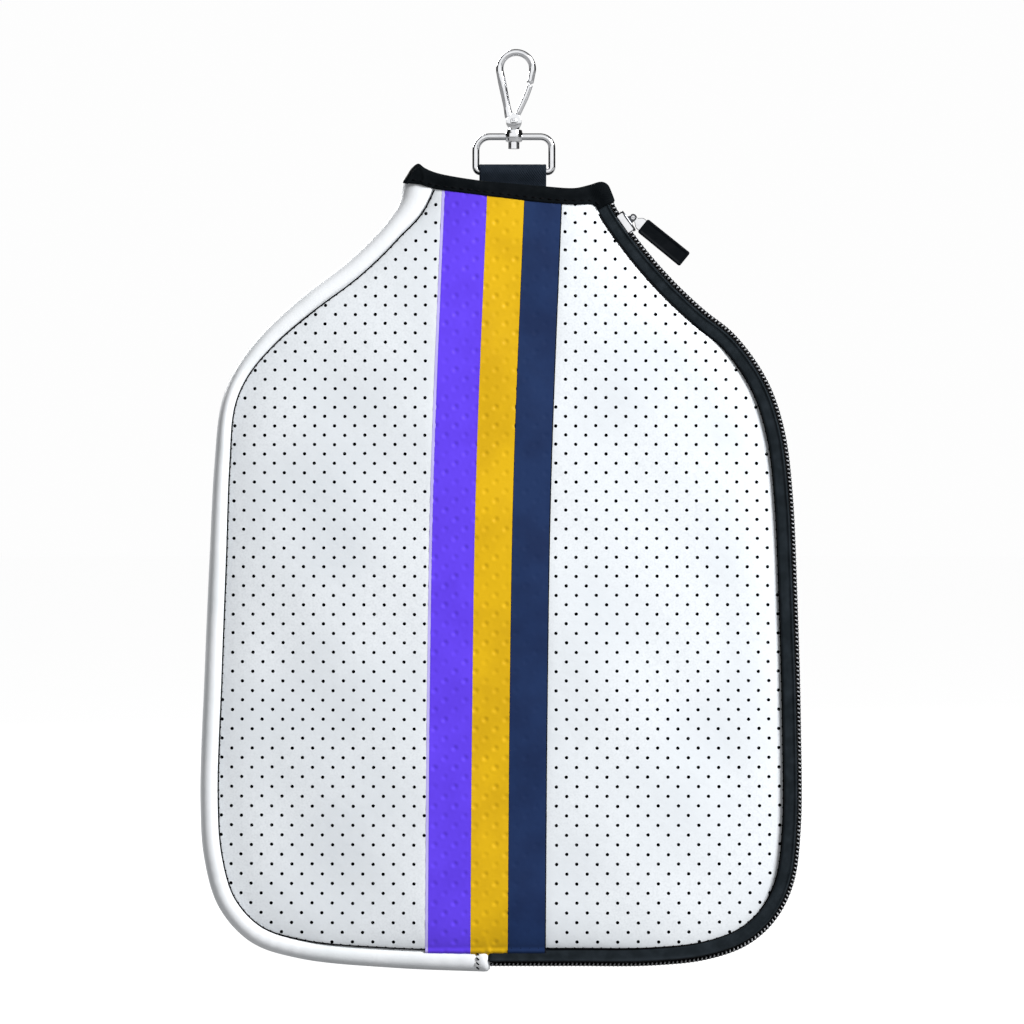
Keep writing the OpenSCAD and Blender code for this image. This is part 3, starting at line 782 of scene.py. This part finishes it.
def seam_stitches(name, seam, inward, side, pitch, length, r, mat, tilt, offset):
    s = lengths(seam)
    t = np.arange(pitch, s[-1] - pitch, pitch)
    t = t + RNG.normal(0, 0.08, len(t))
    a = sample(seam, s, t + 0.5) - sample(seam, s, t - 0.5)
    a /= np.linalg.norm(a, axis=1)[:, None]
    n = sample(inward, s, t)
    p = sample(seam, s, t) + n * offset
    places = place(*p.T, panel_h(*p.T, side), side)
    along = upright(a * math.cos(tilt) + n * math.sin(tilt))
    v, f, uv = stitches(places, along, np.tile([0.0, side, 0.0], (len(p), 1)), length, r, 0.08)
    return mesh_object(name, v, f, mat, uv=uv)


def seam_groove_shadow(name, seam, inward, side, offset, lift, r):
    """A dark tube laid where the panel meets its edging: painted shadow of the seam's groove."""
    c = resample(seam + inward * offset, 1.0)
    path = place(*c.T, panel_h(*c.T, side) + lift, side)
    v, f, uv = tube(path, r, sides=8)
    return mesh_object(name, v, f, THREAD, uv=uv)


left_seam_in = left_of(left_seam)
right_seam_in = -left_of(right_seam)
SEAM_LINES = (("strip_seam", left_seam, left_seam_in, (left_seam[:, 1] < -50) & (left_seam[:, 0] < -9.5), 0.30, 0.50),
              ("zip_seam", right_seam, right_seam_in, right_seam[:, 1] < -58, 0.32, 0.62))
for side, tag in ((-1, "front"), (1, "back")):
    for name, seam, inward, k, r, off in SEAM_LINES:
        # The dark tube along each seam is painted groove shadow; the stitches beside it are thread.
        made = [seam_groove_shadow(f"{name}_groove_shadow_{tag}", seam[k], inward[k], side, off, 0.06, r),
                seam_stitches(f"{name}_thread_{tag}", seam[k], inward[k], side, 3.35, 0.7, 0.30, THREAD, 0.25,
                              off + 0.2)]
        for o in made:
            if side < 0 and name == "zip_seam":
                bend(o)
            else:
                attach(o, "case")

# ---- zip

TAPE_HALF = np.array([
    (6.85, 2.6), (7.0, 4.6), (6.85, 5.5), (6.2, 5.7), (4.7, 5.7), (3.9, 5.72), (3.25, 5.72), (3.0, 5.95),
    (2.75, 6.15), (2.5, 6.08), (2.32, 5.7), (2.2, 5.1), (2.12, 4.2), (2.08, 3.0), (2.05, 1.6), (2.05, 0.4),
    (2.75, 0.4), (2.85, 3.2), (3.3, 4.6), (5.0, 4.7), (6.2, 2.6),
])
zip_keep = (right_edge[:, 1] < -53.5) & ((right_edge[:, 0] > -8.8) | (right_edge[:, 1] > -300))
z_edge = resample(np.concatenate([right_edge[zip_keep], [[-9.4, -340.0]]]), 1.5)
z_in = -left_of(z_edge)
z_len = lengths(z_edge)


def zip_tape(name, side, nodes):
    pr = []
    for k in range(len(z_edge)):
        p = TAPE_HALF.copy()
        ripple = 0.05 * math.sin(z_len[k] / 5.3) * (p[:, 1] > 4.5)
        p[:, 1] += ripple + 0.04 * math.sin(z_len[k] / 2.1 + 1) * (p[:, 1] > 5.8)
        pr.append(p)
    v, f, uv = band_sweep(z_edge, z_in, pr, side_sign=-side, closed_v=True, cap=True)
    o = recalc(mesh_object(name, v, f, TAPE, uv=uv))
    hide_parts(*nodes)
    return o


COIL_PITCH = 1.57


def zip_coil(name, side, nodes):
    """Wound teeth: a flat helix along the edge, with the thread that runs inside it; the front of each turn is given
    a painted highlight.
    """
    turns = int((z_len[-1] - 1.5) / COIL_PITCH)
    steps = 12
    k = np.arange(turns * steps + 1)
    th = 2 * PI * k / steps + (0 if side < 0 else PI)
    s = 0.6 + COIL_PITCH * k / steps
    e, n = sample(z_edge, z_len, s), sample(z_in, z_len, s)
    d = 1.02 - 0.66 * np.cos(th)
    y = 1.18 - 1.42 * np.sin(th)
    y = y - 0.25 * np.exp(-((y + 0.24) ** 2) / 0.05)
    path = np.stack([e[:, 0] + n[:, 0] * d, MID_Y + side * y, e[:, 1] + n[:, 1] * d], 1)
    r = 0.30 + 0.07 * np.exp(-((y + 0.24) ** 2) / 0.12)
    coil = tube(path, r, sides=6, normal=(0.31, 0.9, 0.31))
    core_path = upright(z_edge + z_in * 1.02, MID_Y + side * 1.3)
    outer_path = core_path - upright(z_in * 0.47)
    cores = [tube(core_path, 0.42, sides=8), tube(outer_path, 0.30, sides=8)]
    rows = [tube(upright(z_edge + z_in * 2.03, MID_Y + side * off), 0.17, sides=6) for off in (3.05, 3.85)]
    v, f, uv, _ = join([coil] + cores + rows)
    # Faces at the front of each turn (steps 8 and 9) take the lighter material, a painted highlight on the coil's
    # crests.
    teeth = [2 if (k // 6) % steps in (8, 9) else 0 for k in range(len(coil[1]))]
    face_mats = teeth + [1] * (len(f) - len(teeth))
    o = mesh_object(name, v, f, [COIL, THREAD, COIL_PAINTED_HIGHLIGHT], face_mats, uv)
    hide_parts(*nodes)
    return o


bend(zip_tape("zip_tape_front_band", -1, ["zip_tape_front", "zip_tape_corner"]))
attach(zip_tape("zip_tape_back_band", 1, ["zip_tape_back"]), "case")
bend(zip_coil("zip_coil_front_teeth", -1, ["zip_coil_front", "zip_coil_corner"]))
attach(zip_coil("zip_coil_back_teeth", 1, ["zip_coil_back"]), "case")

# ---- mouth binding

tape_h = TAPE_HALF[:15][::-1]
STRIP_CURVE = strip_profile(7.0)[:12][::-1]


def rim_h(x, z, side):
    """Height of whatever the binding lies on: the panel, the strip or the zip tape."""
    h = panel_h(x, z, side)
    p = np.stack([x, z], 1)
    dr = np.linalg.norm(p[:, None] - right_edge[None], axis=2).min(1)
    dl = np.linalg.norm(p[:, None] - left_edge[None], axis=2).min(1)
    hr = np.interp(dr, tape_h[:, 0], tape_h[:, 1])
    hl = np.interp(dl, STRIP_CURVE[:, 0], STRIP_CURVE[:, 1])
    h = np.where((dr < 7.2) & (x > 0), np.maximum(np.minimum(h, 6.2), hr), h)
    return np.where((dl < 7.2) & (x < 0), np.maximum(np.minimum(h, 6.2), hl), h)


def binding(name, side, nodes):
    t, b = bind_top, bind_low
    s = lengths(t)
    sections = []
    for k in range(len(t)):
        across = b[k] - t[k]
        e = across / np.linalg.norm(across)
        w = max(0.8, np.linalg.norm(across))
        wob = 0.06 * math.sin(s[k] * 0.9) + 0.05 * math.sin(s[k] * 0.37 + 1)
        sec = [(w + 0.05, 0.02), (w + 0.02, 0.42 + wob), (w - 0.25, 0.66 + wob), (w * 0.82, 0.74 + wob),
               (w * 0.70, 0.62), (w * 0.55, 0.80 + wob), (w * 0.38, 0.92 + wob), (w * 0.22, 0.86),
               (w * 0.10, 0.60), (w * 0.02, 0.10),
               (-0.22, -0.7), (-0.26, -1.5), (-0.22, -2.3), (0.0, -3.1), (w * 0.12, -3.75), (w * 0.3, -4.0),
               (w * 0.6, -4.05), (w * 0.85, -4.0), (w, -3.5)]
        d, o = np.array(sec).T
        x = t[k, 0] + e[0] * np.clip(d, 0, w)
        z = t[k, 1] + e[1] * np.clip(d, 0, w)
        base = rim_h(x, z, side)
        base = np.where(o < 0, np.minimum(base, base[9]), base)
        h = np.maximum(base + o, 0.4)
        px = t[k, 0] + e[0] * d
        pz = t[k, 1] + e[1] * d
        sections.append(place(px, pz, h, side))
    v, f, uv = grid(np.array(sections), closed_v=True, cap=True)
    o = recalc(mesh_object(name, v, f, BINDING, uv=uv))
    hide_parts(*nodes)
    return o


def binding_thread(name, side):
    t, b = bind_top[6:], bind_low[6:]
    e = (b - t) / np.linalg.norm(b - t, axis=1)[:, None]
    line = b - e * 1.45
    s = lengths(line)
    q = np.arange(1.5, s[-1] - 1.0, 3.0)
    p = sample(line, s, q)
    a = sample(line, s, q + 0.5) - sample(line, s, q - 0.5)
    a /= np.linalg.norm(a, axis=1)[:, None]
    places = place(*p.T, rim_h(*p.T, side) + 0.62, side)
    v, f, uv = stitches(places, upright(a), np.tile([0.0, side, 0.0], (len(p), 1)), 1.9, 0.24)
    o = mesh_object(name, v, f, THREAD, uv=uv)
    return o


bend(binding("mouth_binding_front", -1, ["mouth_binding_corner"]))
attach(binding("mouth_binding_back", 1, ["mouth_binding"]), "case")
bend(binding_thread("mouth_thread_front", -1))
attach(binding_thread("mouth_thread_back", 1), "case")

end_curve = resample(smooth([(-41.0, -47.6), (-39.6, -45.0), (-38.2, -42.8), (-35.6, -40.9)], 6), 0.5)
end_out = -left_of(end_curve)
rows = []
for yy in np.linspace(-7.6, 7.6, 15):
    q = abs(yy) / 7.6
    outer, inner = end_curve + end_out * (1.1 * q**6), end_curve + end_out * 1.5
    rows.append(np.concatenate([upright(outer, MID_Y + yy), upright(inner, MID_Y + yy)[::-1]]))
v, f, uv = grid(np.array(rows), closed_v=True, cap=True)
end_wrap = recalc(mesh_object("mouth_binding_end_wrap", v, f, BINDING, uv=uv))
crease(end_wrap, 40)
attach(end_wrap, "case")

# ---- webbing tab

BAR_Z = -43.3
WEB_X0, WEB_X1 = -12.9, 12.1
a = np.radians(np.linspace(200, -20, 25))
turn = np.stack([2.15 * np.cos(a), BAR_Z + 2.15 * np.sin(a)], 1)
line = np.concatenate([
    smooth([(-0.45, -68.0), (-0.72, -57.0), (-1.02, -47.4), (-1.55, -45.6), tuple(turn[0])], 8)[:-1], turn,
    smooth([tuple(turn[-1]), (1.55, -45.6), (0.48, -47.4), (0.78, -57.0), (1.05, -68.0)], 8)[1:]])
line = resample(line, 0.6)
out = left_of(line)
half_t, half_w, mid_x = 0.70, (WEB_X1 - WEB_X0) / 2, (WEB_X0 + WEB_X1) / 2
selvage = [(-1, -0.55), (-0.985, -1), (-0.94, -1.02), (-0.88, -0.92), (-0.82, -1)]
face = selvage + [(q, -1) for q in np.linspace(-0.7, 0.7, 9)] + [(-q, o) for q, o in selvage[::-1]]
section = np.array(face) * [half_w, half_t] + [mid_x, 0]
section = np.concatenate([section, section[::-1] * [1, -1]])
pts = np.empty((len(line), len(section), 3))
pts[..., 0] = section[:, 0]
pts[..., 1:] = line[:, None] + out[:, None] * section[:, 1:]
v, f, uv = grid(pts, closed_v=True, cap=True)
webbing = recalc(mesh_object("webbing_tab", v, f, WEBBING, uv=uv))
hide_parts("webbing_loop")
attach(webbing, "case")
sew = []
for z in (-58.0, -65.0):
    for x in np.arange(WEB_X0 + 1.6, WEB_X1 - 1.4, 2.6):
        sew.append((x, -1.42 + 0.06 * (z + 58) / -7, z))
v, f, uv = stitches(sew, [(1, 0, 0)] * len(sew), [(0, -1, 0)] * len(sew), 2.0, 0.28)
sewn = mesh_object("webbing_sewing", v, f, THREAD, uv=uv)
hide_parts("webbing_thread")
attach(sewn, "case")

# ---- ring


def put(parts, name, mat, body, nodes=(), sharp=None):
    """Joins the parts into one closed piece that moves with a body."""
    v, f, uv, _ = join(parts)
    o = recalc(mesh_object(name, v, f, mat, uv=uv))
    if sharp:
        crease(o, sharp)
    if nodes:
        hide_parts(*nodes)
    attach(o, body)
    return o


RING_TOP, RING_LOW, RING_HALF = -30.2, -43.3, 14.2
left_bend, right_bend, low_bend = 5.2, 4.2, 1.7
wire = np.concatenate([
    arc(RING_HALF - right_bend, RING_TOP - right_bend, right_bend, 90, 0, 12),
    arc(RING_HALF - low_bend, RING_LOW + low_bend, low_bend, 0, -90, 8),
    np.stack([np.linspace(11, -11, 12), np.full(12, RING_LOW)], 1),
    arc(-RING_HALF + low_bend, RING_LOW + low_bend, low_bend, -90, -180, 8),
    arc(-RING_HALF + left_bend, RING_TOP - left_bend, left_bend, 180, 90, 12),
])
wire = np.concatenate([[(3.0, RING_TOP)], wire, [(-3.0, RING_TOP)]])
wire = resample(wire, 0.45)
ring_tube = tube(upright(wire), 1.3, sides=24)
barrel = lathe([(1.50, -32.1), (2.6, -32.1), (2.95, -31.95), (3.1, -31.6), (3.1, -31.2), (3.3, -30.95),
                (3.35, -30.6), (3.35, -29.2), (3.3, -28.8), (3.1, -28.55), (3.1, -28.1), (2.95, -27.75),
                (2.6, -27.6), (1.50, -27.6)],
               (0, 0, 0), sides=64, bore=True)
put([ring_tube, barrel], "ring_and_barrel", CHROME, "ring", ["ring"], 40)

# ---- snap hook

CROWN = np.array([0.85, -4.85])
AXIS_Z = -24.6  # the gate's hinge
over = 11.4
bow = arc(CROWN[0], CROWN[1], 6.15, 180 + over, -over, 44)
step = np.array([math.sin(math.radians(over)), -math.cos(math.radians(over))])
left_low = bow[0] + step * 17.2
right_low = bow[-1] + np.array([-step[0], step[1]]) * 4.4
bow_path = np.concatenate([[left_low], [bow[0] + (left_low - bow[0]) * q for q in np.linspace(0.9, 0.1, 12)], bow,
                           [bow[-1] + (right_low - bow[-1]) * q for q in (0.25, 0.5, 0.75, 1.0)]])
bow_path = resample(bow_path, 0.5)
s = lengths(bow_path) / lengths(bow_path)[-1]
bow_r = 1.30 + 0.17 * np.exp(-(((s - 0.30) / 0.13) ** 2))
bow_r += 0.25 * ease((0.10 - s) / 0.10) - 0.04 * ease((s - 0.8) / 0.2)
bow_tube = tube(upright(bow_path), bow_r, sides=24, squash=0.97, round_ends=(0, 0.5))


def cheek(y0, y1, r, bore):
    c = 0.22
    return lathe([(bore, y0), (r - c, y0), (r - 0.06, y0 + 0.07), (r, y0 + c), (r, y1 - c), (r - 0.06, y1 - 0.07),
                  (r - c, y1), (bore, y1)], (0, 0, AXIS_Z), axis="y", sides=56, bore=True)


head = lathe([(0.0, -27.4), (1.85, -27.4), (2.05, -27.2), (2.1, -26.6), (2.05, -26.0), (1.8, -25.8),
              (0.0, -25.8)], (0, 0, 0), sides=56)
put([bow_tube, cheek(-2.3, -0.97, 2.9, 0.72), cheek(0.97, 2.3, 2.9, 0.72), head], "hook_bow", CHROME, "hook",
    ["hook_body"], 40)

half_rivet = [(0.0, 2.62), (0.75, 2.60), (1.15, 2.52), (1.38, 2.36), (1.40, 2.28), (0.70, 2.28)]
rivet = lathe([(q, -y) for q, y in half_rivet] + half_rivet[::-1], (0, 0, AXIS_Z), axis="y", sides=40)
marks = []
for k in range(4):
    a = math.radians(45 + 90 * k)
    for side in (-1, 1):
        t = np.array([math.cos(a), 0, math.sin(a)])
        c = t * 0.62 + [0, side * 2.575, AXIS_Z]
        marks.append(tube(np.stack([c - t * 0.34, c, c + t * 0.34]), 0.13, sides=8, round_ends=(0.1, 0.1)))
put([rivet], "gate_rivet_head", CHROME, "hook", ["gate_rivet"], 40)
put(marks, "gate_rivet_marks", DARK, "hook")

turns = np.linspace(0, 2 * PI * 2.6, 66)
coil = np.stack([1.05 * np.cos(turns), 0.62 + 0.26 * turns / turns[-1], AXIS_Z + 1.05 * np.sin(turns)], 1)
put([tube(coil, 0.12, sides=8, normal=(0, 1, 0))], "gate_spring_coil", STEEL, "hook", ["gate_spring"])

gate_path = resample(smooth([(0.55, -23.9), (1.5, -21.7), (2.35, -19.7), (4.2, -15.8), (6.15, -10.62)], 8), 0.4)
s = lengths(gate_path) / lengths(gate_path)[-1]
gate_r = 0.72 + 0.42 * ease(s / 0.25) - 0.04 * ease((s - 0.6) / 0.4)
put([tube(upright(gate_path), gate_r, sides=22, squash=0.95, round_ends=(0.3, 0.75)),
     lathe([(0.78, -0.72), (1.6, -0.72), (1.7, -0.6), (1.7, 0.1), (1.6, 0.2), (0.78, 0.2)], (0, 0, AXIS_Z), axis="y",
           sides=40, bore=True)], "gate_lever", CHROME, "gate", ["gate"], 45)

# ---- slider and puller

SLIDE = 2.0
at = run_point(SLIDE)
slope = RUN_ANGLE - math.radians(SLIDE)
ALONG = np.array([math.cos(slope), 0, -math.sin(slope)])
OUT = np.array([math.sin(slope), 0, math.cos(slope)])
ACROSS = np.array([0.0, 1.0, 0.0])
S0 = np.array([at[0], MID_Y, at[1]])


def local(pts, origin=S0, ex=ALONG, ey=ACROSS, ez=OUT):
    p = np.asarray(pts, float)
    return origin + p[..., :1] * ex + p[..., 1:2] * ey + p[..., 2:3] * ez


def level(outline, z):
    return np.column_stack([outline, np.full(len(outline), z)])


def slab(outline, z0, z1, ch=0.2, centre=(0, 0)):
    """A plate with chamfered edges, from a closed outline in x and y."""
    o = np.asarray(outline, float)
    c = np.array(centre)
    size = np.abs(o - c).max()
    small = c + (o - c) * (1 - ch / size)
    return np.array([level(small, z0), level(o, z0 + ch), level(o, z1 - ch), level(small, z1)])


def shape(pts):
    return grid(local(pts), closed_v=True, cap=True)


PLATE_L, PLATE_W = 4.5, 3.6
t = round_angles(48)
shield = np.stack([PLATE_L * np.sign(np.cos(t)) * np.abs(np.cos(t)) ** 0.55,
                   PLATE_W * np.sign(np.sin(t)) * np.abs(np.sin(t)) ** 0.5 * (1 - 0.10 * np.cos(t))], 1)
divider = np.array([(-4.4, -0.2), (-2.5, -0.2), (-2.3, 0), (-2.5, 0.2), (-4.4, 0.2)])
parts = [shape(slab(shield, 0.35, 1.35, 0.25)), shape(slab(shield, -4.85, -3.85, 0.25)),
         shape(slab(divider, -4.1, 0.6, 0.05, (-3.3, 0)))]
lips = []
PIVOT = 3.1
for sgn in (-1, 1):
    lip = np.array([(-3.7, 3.0), (3.7, 3.0), (3.9, 3.2), (3.7, 3.55), (-3.7, 3.55), (-3.9, 3.3)]) * [1, sgn]
    lips.append(shape(slab(lip, -1.7, 0.6, 0.12, (0, sgn * 3.28))))
    ear = np.concatenate([[(-1.75, 1.1), (-1.3, 2.2)], arc(0, PIVOT, 1.3, 170, 10, 11), [(1.3, 2.2), (1.75, 1.1)]])
    parts.append(shape(slab(ear, sgn * 1.25 - 0.35, sgn * 1.25 + 0.35, 0.12, (0, 2.4))[..., [0, 2, 1]]))
put(parts, "slider_shell", DARK_METAL, "slider", ["slider_body"], 45)
put(lips, "slider_side_lips", CHROME, "slider", sharp=45)
for node in ("slider_bridge_pin", "swivel_post"):
    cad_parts[node].data.materials.clear()
    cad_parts[node].data.materials.append(CHROME)

pull = math.radians(39)
PX = np.array([math.cos(pull), 0, -math.sin(pull)])
PZ = np.array([math.sin(pull), 0, math.cos(pull)])
P0 = S0 + OUT * PIVOT


def at_pull(rows):
    """Rows of (along, height, thickness) about the puller's pivot."""
    return grid(local(rows[..., [0, 2, 1]], P0, PX, ACROSS, PZ), closed_v=True, cap=True)


eye = lathe([(0.82, -0.6), (1.25, -0.6), (1.4, -0.45), (1.4, 0.45), (1.25, 0.6), (0.82, 0.6)], P0, axis="y",
            sides=40, bore=True)
leaf_line = np.concatenate([[(1.0, 0.95)], smooth([(1.6, 1.0), (2.4, 1.75), (3.4, 2.35), (5.4, 2.3)], 4),
                            smooth([(5.4, -2.3), (3.4, -2.35), (2.4, -1.75), (1.6, -1.0)], 4), [(1.0, -0.95)]])
put([eye, at_pull(slab(leaf_line, -0.6, 0.6, 0.22, (3.2, 0)))], "pull_leaf_plate", CHROME, "puller",
    ["pull_leaf"], 40)
TAB0, TAB1, TAB_HALF, TAB_R = 4.6, 24.9, 3.2, 0.75
low, high, tall = TAB0 + TAB_R, TAB1 - TAB_R, TAB_HALF - TAB_R
outline = np.concatenate([arc(low, tall - 0.1, TAB_R, 180, 90, 6), arc(high, tall, TAB_R, 90, 0, 6),
                          arc(high, -tall, TAB_R, 0, -90, 6), arc(low, 0.1 - tall, TAB_R, -90, -180, 6)])
middle = np.array([(TAB0 + TAB1) / 2, 0])
from_middle = outline - middle
half_rim = [(0, 0.8), (0.06, 1.1), (0.25, 1.27), (0.6, 1.3), (0.95, 1.12), (1.15, 1.02), (1.6, 1.02)]
rows = []
for by, y in [(q, -y) for q, y in half_rim[::-1]] + half_rim:
    rows.append(level(middle + from_middle * (1 - by / np.abs(from_middle).max(0)), y))
put([at_pull(np.array(rows))], "pull_tab_grip", RUBBER, "puller", ["pull_tab"], 60)

# ---- floor, light and camera


low_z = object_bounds()[0].z / MM
FLOOR_SEEN, FLOOR_GLOW = 0.73, 0.20
WORLD_REST = 0.34
v, f, uv = lathe([(0.0, 0.0), (1500, 0.0), (20000, 0.0)], (0, 0, low_z - 0.5), sides=96)
pale = material("floor_pale", (0.13, 0.13, 0.131), rough=0.9, specular=0.1, grains=[(30, 0.05)],
                mottle=[(3, (0.126, 0.126, 0.127), 0.4, 0.7)])
tree = pale.node_tree
shader = tree.nodes["Principled BSDF"]
shader.inputs["Emission Color"].default_value = (1, 1, 1, 1)
camera_ray = tree.nodes.new("ShaderNodeLightPath").outputs["Is Camera Ray"]
glow = math_node(tree, "MULTIPLY_ADD", camera_ray, FLOOR_SEEN, FLOOR_GLOW)
tree.links.new(glow, shader.inputs["Emission Strength"])
floor = mesh_object("studio_floor", v, f[:96 * 2], pale, flat=True)

world = bpy.data.worlds.new("studio")
bpy.context.scene.world = world
world.use_nodes = True
nt = world.node_tree
sep = nt.nodes.new("ShaderNodeSeparateXYZ")
nt.links.new(nt.nodes.new("ShaderNodeTexCoord").outputs["Generated"], sep.inputs[0])
ahead = ranged(nt, sep.outputs["Y"], -0.66, -0.44, 1.0, 0.012)
above = ranged(nt, sep.outputs["Z"], 0.62, 0.90, 0.0, 0.7)
in_front = ranged(nt, sep.outputs["Y"], -0.1, 0.1, 1.0, 0.0)
mirrored = math_node(nt, "MAXIMUM", ahead, math_node(nt, "MULTIPLY", above, in_front))
rays = nt.nodes.new("ShaderNodeLightPath")
seen, shiny = rays.outputs["Is Camera Ray"], rays.outputs["Is Glossy Ray"]
other = math_node(nt, "SUBTRACT", 1.0, math_node(nt, "ADD", seen, shiny))
power = math_node(nt, "ADD", math_node(nt, "MULTIPLY", shiny, mirrored),
                  math_node(nt, "MULTIPLY", other, WORLD_REST))
backdrop = nt.nodes["Background"]
nt.links.new(math_node(nt, "ADD", seen, power), backdrop.inputs["Strength"])
backdrop.inputs["Color"].default_value = (0.985, 0.985, 0.985, 1)


def area(name, place_m, target_m, size, power):
    d = bpy.data.lights.new(name, "AREA")
    d.shape, d.size, d.size_y = "RECTANGLE", *size
    d.energy = power
    o = bpy.data.objects.new(name, d)
    COLLECTION.objects.link(o)
    o.location = place_m
    o.rotation_euler = (Vector(target_m) - Vector(place_m)).to_track_quat("-Z", "Y").to_euler()


CENTRE = (-0.005, -0.01, -0.18)
area("key_light", (1.80, -1.60, 1.15), CENTRE, (1.0, 1.0), 125)
area("back_light", (-0.9, 1.5, 0.8), CENTRE, (1.2, 1.0), 52)

cam = bpy.data.objects.new("camera", bpy.data.cameras.new("camera"))
COLLECTION.objects.link(cam)
cam.data.lens = 200
cam.data.sensor_width = 36
cam.location = (-0.0007, -2.126, -0.1704)
cam.rotation_euler = (math.radians(90), 0, 0)
cam.data.clip_start, cam.data.clip_end = 0.05, 60
bpy.context.scene.camera = cam
bpy.context.scene.view_settings.view_transform = "Standard"
